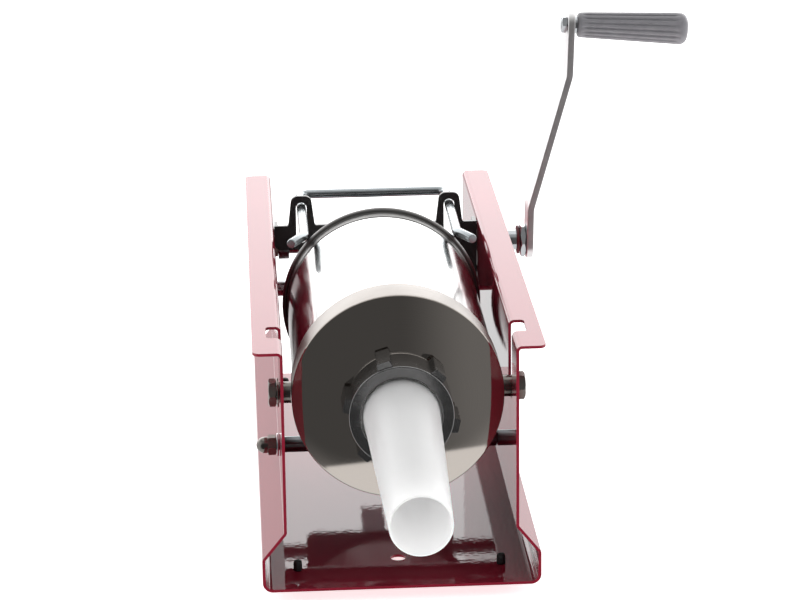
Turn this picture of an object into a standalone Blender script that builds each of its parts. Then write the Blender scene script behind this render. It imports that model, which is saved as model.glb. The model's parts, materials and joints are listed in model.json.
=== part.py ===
"""Horizontal sausage stuffer with a folded sheet frame, a polished cylinder and a rack driven by a crank.

Metres, +Z up. The front with the nozzle faces -Y, the crank stands on +X, the feet rest on Z = 0.
"""

import math

import bmesh
import bpy
from mathutils import Matrix, Vector

# Fits
GAP = 0.0003
SEAT_GAP = 0.0004
OVERCUT = 0.004

# Cylinder and its front cap, on one axis
CYLINDER_DIAMETER = 0.141
CYLINDER_WALL = 0.0008
CYLINDER_FRONT = 0.026
CYLINDER_LENGTH = 0.2116
CYLINDER_BACK = CYLINDER_FRONT + CYLINDER_LENGTH
BEAD_RADIUS = 0.0019
BEAD_SWEEP = range(-15, 196, 30)
BEAD_LIP_SHARE = 0.8
CAP_WALL = 0.0018
CAP_DIAMETER = CYLINDER_DIAMETER + 2 * CAP_WALL
CAP_FRONT = 0.0215
CAP_DOME = 0.0025
CAP_EDGE_RADIUS = 0.004
CAP_EDGE_STEPS = 5
CAP_FLAT_SHARES = (0.7, 1 / 3)
NECK_DIAMETER = 0.062
NECK_WALL = 0.004
NECK_LENGTH = 0.0185
NECK_BORE = NECK_DIAMETER - 2 * NECK_WALL
COLLAR_STEP = 0.003
COLLAR_LENGTH = 0.009
COLLAR_DIAMETER = NECK_DIAMETER + 2 * COLLAR_STEP

# Trunnions that carry the cylinder in the open slots of the walls
TRUNNION_FROM_FRONT = 0.041
TRUNNION_DIAMETER = 0.0148
TRUNNION_BOLT_DIAMETER = 0.010
TRUNNION_HEAD_FLATS = 0.017
TRUNNION_HEAD_HEIGHT = 0.0055
TRUNNION_WASHER_DIAMETER = 0.020
TRUNNION_WASHER = 0.0013
CAP_SKIRT_BEHIND = 0.010
CAP_BACK = TRUNNION_FROM_FRONT + CAP_SKIRT_BEHIND
SLOT_AHEAD = 0.008
SLOT_BEHIND = 0.0165
SLOT_FRONT = TRUNNION_FROM_FRONT - SLOT_AHEAD
SLOT_BACK = TRUNNION_FROM_FRONT + SLOT_BEHIND
SLOT_BOTTOM_RADIUS = 0.0065
SLOT_SEAT_RADIUS = SLOT_BOTTOM_RADIUS / 3
NOTCH_DEPTH = 0.0085
NOTCH_CORNER_RADIUS = 0.003

# Folded sheet frame
SHEET = 0.002
SIDE_ROOM = 0.0057
SKIRT_REACH = 0.01725
FLANGE_REACH = 0.02025
CYLINDER_CLEARANCE = 0.0595
FLANGE_OVER_AXIS = 0.0417
INNER_WIDTH = CAP_DIAMETER + 2 * SIDE_ROOM
BASE_WIDTH = INNER_WIDTH + 2 * SKIRT_REACH
FLANGE_SPAN = INNER_WIDTH + 2 * FLANGE_REACH
AXIS_HEIGHT = CYLINDER_CLEARANCE + CYLINDER_DIAMETER / 2
FLANGE_HEIGHT = AXIS_HEIGHT + FLANGE_OVER_AXIS
SHOULDER_TOP = 0.0425
SHOULDER_FOOT = 0.0235
BEND_RADIUS = 0.003
BASE_BEND_RADIUS = 0.006
FLANGE_CORNER_RADIUS = 0.0055
FOOT_HEIGHT = 0.008
DRAIN_HOLE_DIAMETER = 0.0108
DRAIN_HOLE_FROM_FRONT = 0.0505

# Rubber feet
FOOT_DIAMETER = 0.018
FOOT_NIPPLE_DIAMETER = 0.006
FOOT_NIPPLE_HEIGHT = 0.0075
FOOT_NECK_DIAMETER = 0.005
FOOT_FROM_FRONT = 0.0335
FOOT_FROM_SIDE = 0.02465
FOOT_SPACING = BASE_WIDTH - 2 * FOOT_FROM_SIDE
FOOT_SHARES = ((0, 0.94), (0.25, 1), (0.9, 0.92), (1, 0.84))
NIPPLE_CROWN_SHARES = (0.7, 0.3)

# Ring nut, gasket and nozzle
NUT_WALL = 0.0043
NUT_DIAMETER = NECK_DIAMETER + 2 * NUT_WALL
NUT_BAND = 0.0017
NUT_BAND_DIAMETER = NUT_DIAMETER + 2 * NUT_BAND
NUT_BAND_LENGTH = 0.010
NUT_LIP = 0.0042
LUG_HEIGHT = 0.0025
LUG_WIDTH = 0.011
LUG_COUNT = 6
LUG_PHASE = 0.32
LUG_LENGTH_SHARE = 1.15
NUT_CHAMFER_SHARE = 1 / 3
GASKET_THICKNESS = 0.0018
NOZZLE_FLANGE = 0.003
NOZZLE_FLANGE_INSET = 0.0005
NOZZLE_FLANGE_DIAMETER = NECK_DIAMETER - 2 * NOZZLE_FLANGE_INSET
NOZZLE_ROOM = 0.00165
NOZZLE_INSET = 0.00125
NOZZLE_ROOT_DIAMETER = NECK_BORE - 2 * NOZZLE_INSET
NOZZLE_TIP_DIAMETER = 0.0395
NUT_OPENING = NOZZLE_ROOT_DIAMETER + 2 * NOZZLE_ROOM
NOZZLE_REACH = 0.195
NOZZLE_WALL = 0.0026
TIP_ROUND_SHARE = 0.4

# Cross rod under the cylinder
ROD_FROM_FRONT = 0.146
ROD_DIAMETER = 0.0115
ROD_THREAD_DIAMETER = 0.008
ROD_NUT_FLATS = 0.013
ROD_NUT_HEIGHT = 0.0065
CAP_NUT_LENGTH = 0.0145
CAP_NUT_DOME_DIAMETER = 0.0118
CAP_NUT_BORE_SHARE = 0.76
CAP_NUT_THREAD_SHARE = 0.7
ROD_WASHER_DIAMETER = 0.0165
ROD_WASHER = 0.0014
THREAD_END = 0.002

# Latch bail, one bent rod that passes close over the cylinder's bead
BAIL_DIAMETER = 0.007
BAIL_CLEARANCE = 0.0006
BAIL_BEHIND_PLATE = 0.039
BAIL_TIP_LENGTH = 0.0215
BAIL_SPLAY = 0.0102
BAIL_BEND_RADIUS = 0.007

# Rear plate with its two slotted ears
PISTON_ROOM = 0.0754
PLATE_FROM_FRONT = CYLINDER_BACK + PISTON_ROOM
PLATE_THICKNESS = 0.003
PLATE_DROP = 0.0022
PLATE_TOP = FLANGE_HEIGHT - PLATE_DROP
LEFT_TAB_HEIGHT = 0.019
RIGHT_TAB_HEIGHT = 0.0525
TAB_CORNER_RADIUS = 0.005
PLATE_BODY_HEIGHT = 0.0815
PLATE_BODY_INSET = 0.020
PLATE_FILLET = 0.006
EAR_CENTRE_SHARE = 0.803
EAR_BASE_WIDTH = 0.0204
EAR_TOP_WIDTH = 0.0148
EAR_SLOT_WIDTH = 0.0082
EAR_SLOT_LENGTH = 0.0318
EAR_ROOF = 0.0051
EAR_CROWN_SHARE = 0.36
FULL_ROUND_SHARE = 0.98
LUG_LENGTH = 0.0112
LUG_INSET = 0.0003
PLATE_SCREW_DIAMETER = 0.005
PLATE_SCREW_HEAD = 0.0095
PLATE_SCREW_HEAD_HEIGHT = 0.0028
SCREW_DOME_SHARES = ((1, 0.45), (0.75, 0.8), (0, 1))
PLATE_NUT_FLATS = 0.008
PLATE_NUT_HEIGHT = 0.004

# Rack and pinion
MODULE = 0.0025
PINION_TEETH = 10
PRESSURE_ANGLE = math.radians(20)
SHAFT_BEHIND_PLATE = 0.023
SHAFT_FROM_FRONT = PLATE_FROM_FRONT + SHAFT_BEHIND_PLATE
FRAME_TAIL = 0.119
FRAME_LENGTH = SHAFT_FROM_FRONT + FRAME_TAIL
RACK_WIDTH = 0.018
RACK_HEIGHT = 0.014
PINION_WIDTH = 0.022
PINION_HUB_DIAMETER = 0.022
PINION_HUB_LENGTH = 0.010
PINION_PIN_DIAMETER = 0.004
TOOTH_CLEARANCE = 0.0003
RACK_DEDENDUM = 1.25
PINION_DEDENDUM = 1.2
ROOT_SPREAD = 0.02
FLANK_STEPS = 4

# Piston, drawn part of the way back
PISTON_FRONT = 0.122
PISTON_THICKNESS = 0.020
PISTON_CLEARANCE = 0.0006
RACK_LENGTH = FRAME_LENGTH - PISTON_FRONT - PISTON_THICKNESS
SEAL_WIDTH = 0.006
SEAL_DEPTH = 0.005
SPIGOT_DIAMETER = 0.0117
PISTON_WASHER_DIAMETER = 0.030
PISTON_WASHER = 0.002
PISTON_NUT_FLATS = 0.018
PISTON_NUT_HEIGHT = 0.009

# Crank shaft, its bushes and collars
SHAFT_DIAMETER = 0.012
BUSH_WALL = 0.002
BUSH_FLANGE_DIAMETER = 0.023
BUSH_FLANGE = 0.0025
COLLAR_RING_DIAMETER = 0.020
COLLAR_RING_LENGTH = 0.008
SHAFT_LEFT_END = 0.005
CRANK_BOSS_DIAMETER = 0.016
CRANK_NUT_HEIGHT = 0.0043
CRANK_NUT_FLATS = 0.024
CRANK_WASHER = 0.0016
CRANK_WASHER_DIAMETER = 0.022
CRANK_WASHER_SPACING = 0.0006
BUSH_DIAMETER = SHAFT_DIAMETER + 2 * BUSH_WALL

# Back-up roller under the rack
ROLLER_DIAMETER = 0.020
ROLLER_LENGTH = 0.016
PIN_DIAMETER = 0.008
SPACER_DIAMETER = 0.012

# Crank arm and grip
ARM_THICKNESS = 0.0052
ARM_WIDTH = 0.024
ARM_OUTSIDE_WALL = 0.0401
ARM_REACH = INNER_WIDTH / 2 + SHEET + ARM_OUTSIDE_WALL
ARM_END = 0.0138
ARM_FIRST_BEND = 0.027
GRIP_HEIGHT = 0.1695
ARM_UPPER_STRAIGHT = 0.038
ARM_OVER_GRIP = 0.0115
ARM_SECOND_BEND = GRIP_HEIGHT - ARM_UPPER_STRAIGHT
ARM_TOP = GRIP_HEIGHT + ARM_OVER_GRIP
ARM_OFFSET = 0.0304
ARM_BEND_RADIUS = 0.010
ARM_LEAN = 0.0016
ARM_ROUND_SHARE = 0.9
GRIP_TILT = math.radians(3.6)
GRIP_LENGTH = 0.0843
GRIP_INNER_DIAMETER = 0.0190
GRIP_OUTER_DIAMETER = 0.0246
GRIP_FLUTES = 16
FLUTE_DEPTH = 0.0007
FLUTE_SHARES = (0, 0.75, 1, 0.75)
# Along the grip: (share of its length, share of its radius, share of the flutes' depth)
GRIP_STATIONS = (
    (0, 0.86, 0),
    (0.012, 1, 0),
    (0.05, 1, 0.3),
    (0.075, 1, 1),
    (0.90, 1, 1),
    (0.935, 1, 0.3),
    (0.955, 1, 0),
    (0.98, 0.95, 0),
    (0.994, 0.84, 0),
    (1, 0.68, 0),
)
SPINDLE_DIAMETER = 0.008
SPINDLE_SHOULDER_DIAMETER = 0.013
SPINDLE_SHOULDER = 0.0022
SPINDLE_LENGTH_SHARE = 0.83
SPINDLE_NUT_FLATS = 0.012
SPINDLE_NUT_HEIGHT = 0.004

# Facets
ROUND_STEPS = 32
WIDE_STEPS = 72
BEND_STEPS = 4
NUT_STEPS = 48
SMALL_STEPS = 24
SCREW_STEPS = 20
PIN_STEPS = 16
SHARP_ANGLE = math.radians(32)
WELD_DISTANCE = 0.00001

AXIS_Z = FOOT_HEIGHT + AXIS_HEIGHT
HALF_INNER = INNER_WIDTH / 2
HALF_OUTER = HALF_INNER + SHEET


def along(distance_from_front):
    """World Y of a place measured backwards from the frame's front edge."""
    return distance_from_front - FRAME_LENGTH / 2


def above(height_over_base):
    """World Z of a height measured from the underside of the base."""
    return FOOT_HEIGHT + height_over_base


AXES = {"X": (1, 0, 0), "-X": (-1, 0, 0), "-Y": (0, -1, 0), "Z": (0, 0, 1)}
SIDES = ((-1, "left", "-X"), (1, "right", "X"))
# Stands a flat outline up: its local X runs along world Y and its local Y along world Z
SIDE_ON = Matrix(((0, 0, 1, 0), (1, 0, 0, 0), (0, 1, 0, 0), (0, 0, 0, 1)))


def clear_scene():
    for stale in list(bpy.data.objects):
        bpy.data.objects.remove(stale, do_unlink=True)


def new_collection(name):
    made = bpy.data.collections.new(name)
    bpy.context.scene.collection.children.link(made)
    return made


clear_scene()
PARTS = new_collection("sausage_stuffer")
CUTTERS = new_collection("cutters")
CUTTERS.hide_render = True


def finish_of(name, colour, roughness, metallic):
    made = bpy.data.materials.new(name)
    made.use_nodes = True
    shader = made.node_tree.nodes["Principled BSDF"]
    shader.inputs["Base Color"].default_value = (*colour, 1)
    shader.inputs["Roughness"].default_value = roughness
    shader.inputs["Metallic"].default_value = metallic
    made.diffuse_color = (*colour, 1)
    return made


RED_PAINT = ((0.16, 0.012, 0.022), 0.18, 0.0)
BLACK_PAINT = ((0.018, 0.017, 0.018), 0.35, 0.0)
MIRROR_STEEL = ((0.62, 0.61, 0.60), 0.08, 1.0)
ZINC = ((0.55, 0.58, 0.58), 0.30, 1.0)
DARK_STEEL = ((0.20, 0.20, 0.21), 0.38, 1.0)
CAST_METAL = ((0.22, 0.23, 0.24), 0.40, 1.0)
WHITE_PLASTIC = ((0.82, 0.83, 0.82), 0.35, 0.0)
GREY_PLASTIC = ((0.16, 0.165, 0.175), 0.45, 0.0)
NYLON = ((0.75, 0.73, 0.66), 0.45, 0.0)
RUBBER = ((0.015, 0.015, 0.015), 0.75, 0.0)
SILICONE = ((0.60, 0.10, 0.06), 0.55, 0.0)
FIBRE = ((0.13, 0.012, 0.02), 0.55, 0.0)


def shade(mesh):
    mesh.shade_smooth()
    mesh.set_sharp_from_angle(angle=SHARP_ANGLE)


def placed(name, mesh, finish, matrix):
    """Adds an object with its own material, or a hidden cutter when there is no finish."""
    made = bpy.data.objects.new(name, mesh)
    made.matrix_world = matrix
    if finish is None:
        CUTTERS.objects.link(made)
        made.hide_render = True
        made.display_type = "WIRE"
        return made
    PARTS.objects.link(made)
    mesh.materials.append(finish_of(name, *finish))
    shade(mesh)
    return made


def facing(direction, origin):
    """Placement whose local Z points along a world axis name or vector, at an origin."""
    toward = Vector(AXES[direction] if isinstance(direction, str) else direction)
    turn = Vector((0, 0, 1)).rotation_difference(toward)
    return Matrix.Translation(Vector(origin)) @ turn.to_matrix().to_4x4()


def turned(name, profile, finish, matrix, steps=ROUND_STEPS, ring=False):
    """Revolves (height, radius) pairs, listed from the top down the outer side, about local Z."""
    mesh = bpy.data.meshes.new(name)
    points = [(radius, 0, height) for height, radius in profile]
    edges = [(i, i + 1) for i in range(len(points) - 1)]
    if ring:
        edges.append((len(points) - 1, 0))
    mesh.from_pydata(points, edges, [])
    made = placed(name, mesh, finish, matrix)
    screw = made.modifiers.new("turn", "SCREW")
    screw.axis = "Z"
    screw.angle = math.tau
    screw.steps = screw.render_steps = steps
    screw.use_merge_vertices = True
    screw.merge_threshold = WELD_DISTANCE
    screw.use_smooth_shade = True
    return made


def solid_bar(name, pairs, finish, matrix, steps=ROUND_STEPS):
    """A solid turned piece: the given outer profile closed onto the axis at both ends."""
    return turned(name, [(pairs[0][0], 0), *pairs, (pairs[-1][0], 0)], finish, matrix, steps)


def tube(name, top, bottom, outer, inner, finish, matrix, steps=ROUND_STEPS):
    profile = [(top, inner), (top, outer), (bottom, outer), (bottom, inner)]
    return turned(name, profile, finish, matrix, steps, ring=True)


def flat(name, outlines, thickness, finish, matrix):
    """A flat piece: outer outline and holes in local XY, thickness shared either side of it."""
    curve = bpy.data.curves.new(name, "CURVE")
    curve.dimensions = "2D"
    curve.fill_mode = "BOTH"
    curve.extrude = thickness / 2
    for outline in outlines:
        spline = curve.splines.new("POLY")
        spline.points.add(len(outline) - 1)
        for point, (x, y) in zip(spline.points, outline):
            point.co = (x, y, 0, 1)
        spline.use_cyclic_u = True
    return from_curve(name, curve, finish, matrix)


def from_curve(name, curve, finish, matrix):
    """Turns a curve into a welded mesh object."""
    helper = bpy.data.objects.new(name, curve)
    bpy.context.scene.collection.objects.link(helper)
    bpy.context.view_layer.update()
    mesh = bpy.data.meshes.new_from_object(helper.evaluated_get(bpy.context.evaluated_depsgraph_get()))
    bpy.data.objects.remove(helper)
    work = bmesh.new()
    work.from_mesh(mesh)
    bmesh.ops.remove_doubles(work, verts=work.verts, dist=WELD_DISTANCE / 10)
    bmesh.ops.recalc_face_normals(work, faces=work.faces)
    work.to_mesh(mesh)
    work.free()
    mesh.name = name
    mesh.materials.clear()
    return placed(name, mesh, finish, matrix)


def circle(radius, steps):
    turns = [math.tau * i / steps for i in range(steps)]
    return [(radius * math.cos(turn), radius * math.sin(turn)) for turn in turns]


def hexagon(flats):
    reach = flats / math.sqrt(3)
    turns = [math.radians(30 + 60 * i) for i in range(6)]
    return [(reach * math.cos(turn), reach * math.sin(turn)) for turn in turns]


def rounded(points, radii, closed=True, steps=BEND_STEPS):
    """Rounds the corners of a 2D line. A radius of 0 keeps its corner sharp."""
    result = []
    count = len(points)
    for i, (point, radius) in enumerate(zip(points, radii)):
        if radius == 0 or (not closed and i in (0, count - 1)):
            result.append(tuple(point))
            continue
        corner = Vector(point)
        before = (Vector(points[i - 1]) - corner).normalized()
        after = (Vector(points[(i + 1) % count]) - corner).normalized()
        half = before.angle(after) / 2
        centre = corner + (before + after).normalized() * radius / math.sin(half)
        start = corner + before * radius / math.tan(half) - centre
        end = corner + after * radius / math.tan(half) - centre
        sweep = start.angle_signed(end)
        for step in range(steps + 1):
            result.append(tuple(centre + Matrix.Rotation(-sweep * step / steps, 2) @ start))
    return result


def box(name, low, high, finish=None):
    work = bmesh.new()
    bmesh.ops.create_cube(work, size=1)
    size = [b - a for a, b in zip(low, high)]
    middle = [(a + b) / 2 for a, b in zip(low, high)]
    stretch = Matrix.Translation(middle) @ Matrix.Diagonal((*size, 1))
    bmesh.ops.transform(work, matrix=stretch, verts=work.verts)
    mesh = bpy.data.meshes.new(name)
    work.to_mesh(mesh)
    work.free()
    return placed(name, mesh, finish, Matrix())


def combine(target, other, operation):
    joint = target.modifiers.new(other.name, "BOOLEAN")
    joint.operation = operation
    joint.solver = "EXACT"
    joint.object = other


def cut(target, *cutters):
    for cutter in cutters:
        combine(target, cutter, "DIFFERENCE")


def drill(target, name, direction, origin, radius, length, steps=ROUND_STEPS):
    """Cuts a round hole centred on an origin."""
    pairs = [(length / 2, radius), (-length / 2, radius)]
    cut(target, solid_bar(name, pairs, None, facing(direction, origin), steps))


def hex_nut(name, flats, height, bore, direction, origin, finish=ZINC):
    """A plain nut that starts at its origin and grows along a direction."""
    matrix = facing(direction, origin) @ Matrix.Translation((0, 0, height / 2))
    return flat(name, [hexagon(flats), circle(bore / 2, SMALL_STEPS)], height, finish, matrix)


def washer(name, outer, thickness, bore, direction, origin, finish=ZINC):
    return tube(name, thickness, 0, outer / 2, bore / 2, finish, facing(direction, origin), SMALL_STEPS)


def hex_bolt(name, flats, head, shank, length, direction, origin, finish=ZINC):
    """A bolt whose head grows from its origin along a direction and whose shank runs the other way."""
    matrix = facing(direction, origin)
    bolt = flat(name, [hexagon(flats)], head, finish, matrix @ Matrix.Translation((0, 0, head / 2)))
    pairs = [(head / 2, shank / 2), (-length, shank / 2)]
    combine(bolt, solid_bar(name + "_shank", pairs, None, matrix, SMALL_STEPS), "UNION")
    return bolt


def rod_path(name, points, radius):
    """A round rod through 3D points with closed ends."""
    curve = bpy.data.curves.new(name, "CURVE")
    curve.dimensions = "3D"
    curve.bevel_depth = radius
    curve.bevel_resolution = 4
    curve.use_fill_caps = True
    spline = curve.splines.new("POLY")
    spline.points.add(len(points) - 1)
    for point, place in zip(spline.points, points):
        point.co = (*place, 1)
    return curve


def frame_channel():
    """One folded sheet: base, skirts, shoulders, walls and outward flanges."""
    middle = SHEET / 2
    wall = HALF_INNER + middle
    skirt = BASE_WIDTH / 2 - middle
    right = [
        (skirt, above(middle)),
        (skirt, above(SHOULDER_FOOT)),
        (wall, above(SHOULDER_TOP)),
        (wall, above(FLANGE_HEIGHT - middle)),
        (FLANGE_SPAN / 2, above(FLANGE_HEIGHT - middle)),
    ]
    radii = [BASE_BEND_RADIUS, BEND_RADIUS, BEND_RADIUS, BEND_RADIUS, 0]
    corners = [(-x, z) for x, z in reversed(right)] + right
    section = rounded(corners, radii[::-1] + radii, closed=False)
    half = FRAME_LENGTH / 2
    points = [(x, y, z) for y in (-half, half) for x, z in section]
    count = len(section)
    faces = [(i, i + 1, count + i + 1, count + i) for i in range(count - 1)]
    mesh = bpy.data.meshes.new("frame_channel")
    mesh.from_pydata(points, [], faces)
    frame = placed("frame_channel", mesh, RED_PAINT, Matrix())
    thick = frame.modifiers.new("sheet", "SOLIDIFY")
    thick.thickness = SHEET
    thick.offset = 0
    thick.use_even_offset = True

    shaft_y = along(SHAFT_FROM_FRONT)
    for side, tag, _ in SIDES:
        cut(frame, trunnion_slot(side, tag), flange_notch(side, tag))
        bores = [
            ("rod_hole", ROD_THREAD_DIAMETER, along(ROD_FROM_FRONT), rod_z()),
            ("bush_hole", BUSH_DIAMETER, shaft_y, shaft_z()),
            ("pin_hole", PIN_DIAMETER, shaft_y, roller_z()),
        ]
        for level, z in enumerate(screw_levels(side)):
            bores.append((f"screw_hole_{level}", PLATE_SCREW_DIAMETER, screw_y(), z))
        for name, bore, y, z in bores:
            drill(frame, f"{name}_{tag}", "X", (side * wall, y, z), bore / 2 + GAP, OVERCUT)
        for end, y in (("front", -half), ("back", half)):
            cut(frame, flange_corner(side, tag, end, y))
            nipple = (side * FOOT_SPACING / 2, foot_y(end), above(middle))
            neck = FOOT_NECK_DIAMETER / 2 + GAP
            drill(frame, f"foot_hole_{tag}_{end}", "Z", nipple, neck, OVERCUT, SCREW_STEPS)
    drain = (0, along(DRAIN_HOLE_FROM_FRONT), above(middle))
    drill(frame, "drain_hole", "Z", drain, DRAIN_HOLE_DIAMETER / 2, OVERCUT)
    return frame


def rod_z():
    return AXIS_Z - CYLINDER_DIAMETER / 2 - GAP - ROD_DIAMETER / 2


def shaft_z():
    return rack_top() - MODULE + MODULE * PINION_TEETH / 2


def rack_top():
    return AXIS_Z + RACK_HEIGHT / 2


def roller_z():
    return AXIS_Z - RACK_HEIGHT / 2 - GAP - ROLLER_DIAMETER / 2


def screw_y():
    return along(PLATE_FROM_FRONT) + PLATE_THICKNESS + LUG_LENGTH / 2


def screw_levels(side):
    """Heights of the screws in one side's lug: one in the short left lug, two in the tall right one."""
    high = above(PLATE_TOP)
    margin = (LEFT_TAB_HEIGHT - TAB_CORNER_RADIUS) / 2
    if side < 0:
        return [high - margin]
    return [high - RIGHT_TAB_HEIGHT + TAB_CORNER_RADIUS + margin, high - margin]


def foot_y(end):
    near = along(FOOT_FROM_FRONT)
    return near if end == "front" else -near


def trunnion_slot(side, tag):
    """The open slot of one wall, with a rounded bottom, from the trunnion's seat up past the flange."""
    bottom = AXIS_Z - TRUNNION_DIAMETER / 2 - GAP
    top = above(FLANGE_HEIGHT) + OVERCUT
    corners = [
        (along(SLOT_FRONT), bottom),
        (along(SLOT_BACK), bottom),
        (along(SLOT_BACK), top),
        (along(SLOT_FRONT), top),
    ]
    outline = rounded(corners, [SLOT_SEAT_RADIUS, SLOT_BOTTOM_RADIUS, 0, 0])
    place = Matrix.Translation((side * (HALF_INNER + SHEET / 2), 0, 0)) @ SIDE_ON
    return flat("slot_" + tag, [outline], OVERCUT, None, place)


def flange_notch(side, tag):
    """The part of the slot that opens the flange, with rounded outer corners."""
    inner = side * (HALF_INNER - OVERCUT / 2)
    outer = side * (HALF_OUTER + NOTCH_DEPTH)
    front, back = along(SLOT_FRONT), along(SLOT_BACK)
    corners = [(inner, front), (outer, front), (outer, back), (inner, back)]
    outline = rounded(corners, [0, NOTCH_CORNER_RADIUS, NOTCH_CORNER_RADIUS, 0])
    depth = 2 * (BEND_RADIUS + SHEET)
    return flat("notch_" + tag, [outline], depth, None, Matrix.Translation((0, 0, above(FLANGE_HEIGHT))))


def flange_corner(side, tag, end, y):
    """Cuts one flange corner round as seen from above."""
    x = side * FLANGE_SPAN / 2
    inward = 1 if end == "front" else -1
    radius = FLANGE_CORNER_RADIUS
    steps = 2 * BEND_STEPS
    arc = []
    for step in range(steps + 1):
        turn = math.pi / 2 * step / steps
        arc.append((x - side * radius * (1 - math.sin(turn)), y + inward * radius * (1 - math.cos(turn))))
    far_x, far_y = x + side * OVERCUT, y - inward * OVERCUT
    outline = arc + [(far_x, arc[-1][1]), (far_x, far_y), (arc[0][0], far_y)]
    place = Matrix.Translation((0, 0, above(FLANGE_HEIGHT)))
    return flat(f"corner_{tag}_{end}", [outline], OVERCUT * 2, None, place)


def feet():
    """Rubber feet, each held by a nipple pushed up through the base."""
    neck = FOOT_NECK_DIAMETER / 2
    crown = FOOT_NIPPLE_DIAMETER / 2
    top = FOOT_NIPPLE_HEIGHT + SHEET
    narrow, drop = NIPPLE_CROWN_SHARES
    profile = [
        (top, crown * narrow),
        (top - crown * drop, crown),
        (SHEET + GAP, crown),
        (SHEET + GAP, neck),
        (-GAP, neck),
    ]
    for depth, width in FOOT_SHARES:
        profile.append((-GAP - (FOOT_HEIGHT - GAP) * depth, FOOT_DIAMETER / 2 * width))
    for side, tag, _ in SIDES:
        for end in ("front", "back"):
            place = facing("Z", (side * FOOT_SPACING / 2, foot_y(end), FOOT_HEIGHT))
            solid_bar(f"foot_{tag}_{end}", profile, RUBBER, place, SMALL_STEPS)


def along_axis():
    """Placement on the cylinder's axis, its local Z running forward from the frame's front edge."""
    return facing("-Y", (0, along(0), AXIS_Z))


def cylinder_tube():
    """Open tube with a rolled bead round its back end."""
    outer = CYLINDER_DIAMETER / 2
    inner = outer - CYLINDER_WALL
    centre_height = -CYLINDER_BACK + BEAD_RADIUS
    centre_radius = outer - CYLINDER_WALL / 2 + BEAD_RADIUS
    profile = [(-CYLINDER_FRONT, inner), (-CYLINDER_FRONT, outer), (centre_height + BEAD_RADIUS, outer)]
    for angle in BEAD_SWEEP:
        turn = math.radians(angle)
        height = centre_height + BEAD_RADIUS * math.cos(turn)
        profile.append((height, centre_radius + BEAD_RADIUS * math.sin(turn)))
    profile += [(-CYLINDER_BACK, centre_radius - BEAD_RADIUS * BEAD_LIP_SHARE), (-CYLINDER_BACK, inner)]
    return turned("cylinder_tube", profile, MIRROR_STEEL, along_axis(), WIDE_STEPS, ring=True)


def collar_front():
    return COLLAR_LENGTH - CAP_FRONT


def neck_front():
    return collar_front() + NECK_LENGTH


def front_cap():
    """Pressed cap over the tube's front end with a collar and a neck for the ring nut."""
    outer = CAP_DIAMETER / 2
    inner = CYLINDER_DIAMETER / 2 + GAP
    flat_radius, flat_drop = CAP_FLAT_SHARES
    edge = []
    for step in range(CAP_EDGE_STEPS + 1):
        turn = math.pi / 2 * step / CAP_EDGE_STEPS
        height = -CAP_FRONT - CAP_DOME - CAP_EDGE_RADIUS * (1 - math.cos(turn))
        edge.append((height, outer - CAP_EDGE_RADIUS * (1 - math.sin(turn))))
    profile = [
        (neck_front(), NECK_BORE / 2),
        (neck_front(), NECK_DIAMETER / 2),
        (collar_front(), NECK_DIAMETER / 2),
        (collar_front(), COLLAR_DIAMETER / 2),
        (-CAP_FRONT, COLLAR_DIAMETER / 2),
        (-CAP_FRONT - CAP_DOME * flat_drop, outer * flat_radius),
        *edge,
        (-CAP_BACK, outer),
        (-CAP_BACK, inner),
        (-CYLINDER_FRONT + GAP, inner),
        (-CYLINDER_FRONT + GAP, NECK_BORE / 2),
    ]
    turned("front_cap", profile, MIRROR_STEEL, along_axis(), WIDE_STEPS, ring=True)


def trunnions():
    """Bosses between cap and walls, each with its washer and bolt, their inner ends fitted to the cap."""
    y = along(TRUNNION_FROM_FRONT)
    start = CAP_DIAMETER / 2 + GAP
    washer_at = HALF_OUTER + SEAT_GAP + GAP
    head_at = washer_at + TRUNNION_WASHER + GAP
    bore = TRUNNION_BOLT_DIAMETER + 2 * GAP
    for side, tag, direction in SIDES:
        name = "trunnion_boss_" + tag
        place = facing(direction, (0, y, AXIS_Z))
        boss = tube(name, HALF_OUTER + SEAT_GAP, start, TRUNNION_DIAMETER / 2, bore / 2, ZINC, place)
        drill(boss, "cap_clear_" + tag, "-Y", (0, y, AXIS_Z), start, 4 * CAP_BACK, WIDE_STEPS)
        name = "trunnion_washer_" + tag
        spot = (side * washer_at, y, AXIS_Z)
        washer(name, TRUNNION_WASHER_DIAMETER, TRUNNION_WASHER, bore, direction, spot)
        name = "trunnion_bolt_" + tag
        spot = (side * head_at, y, AXIS_Z)
        reach = head_at - start - GAP
        flats, head, shank = TRUNNION_HEAD_FLATS, TRUNNION_HEAD_HEIGHT, TRUNNION_BOLT_DIAMETER
        hex_bolt(name, flats, head, shank, reach, direction, spot)


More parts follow.
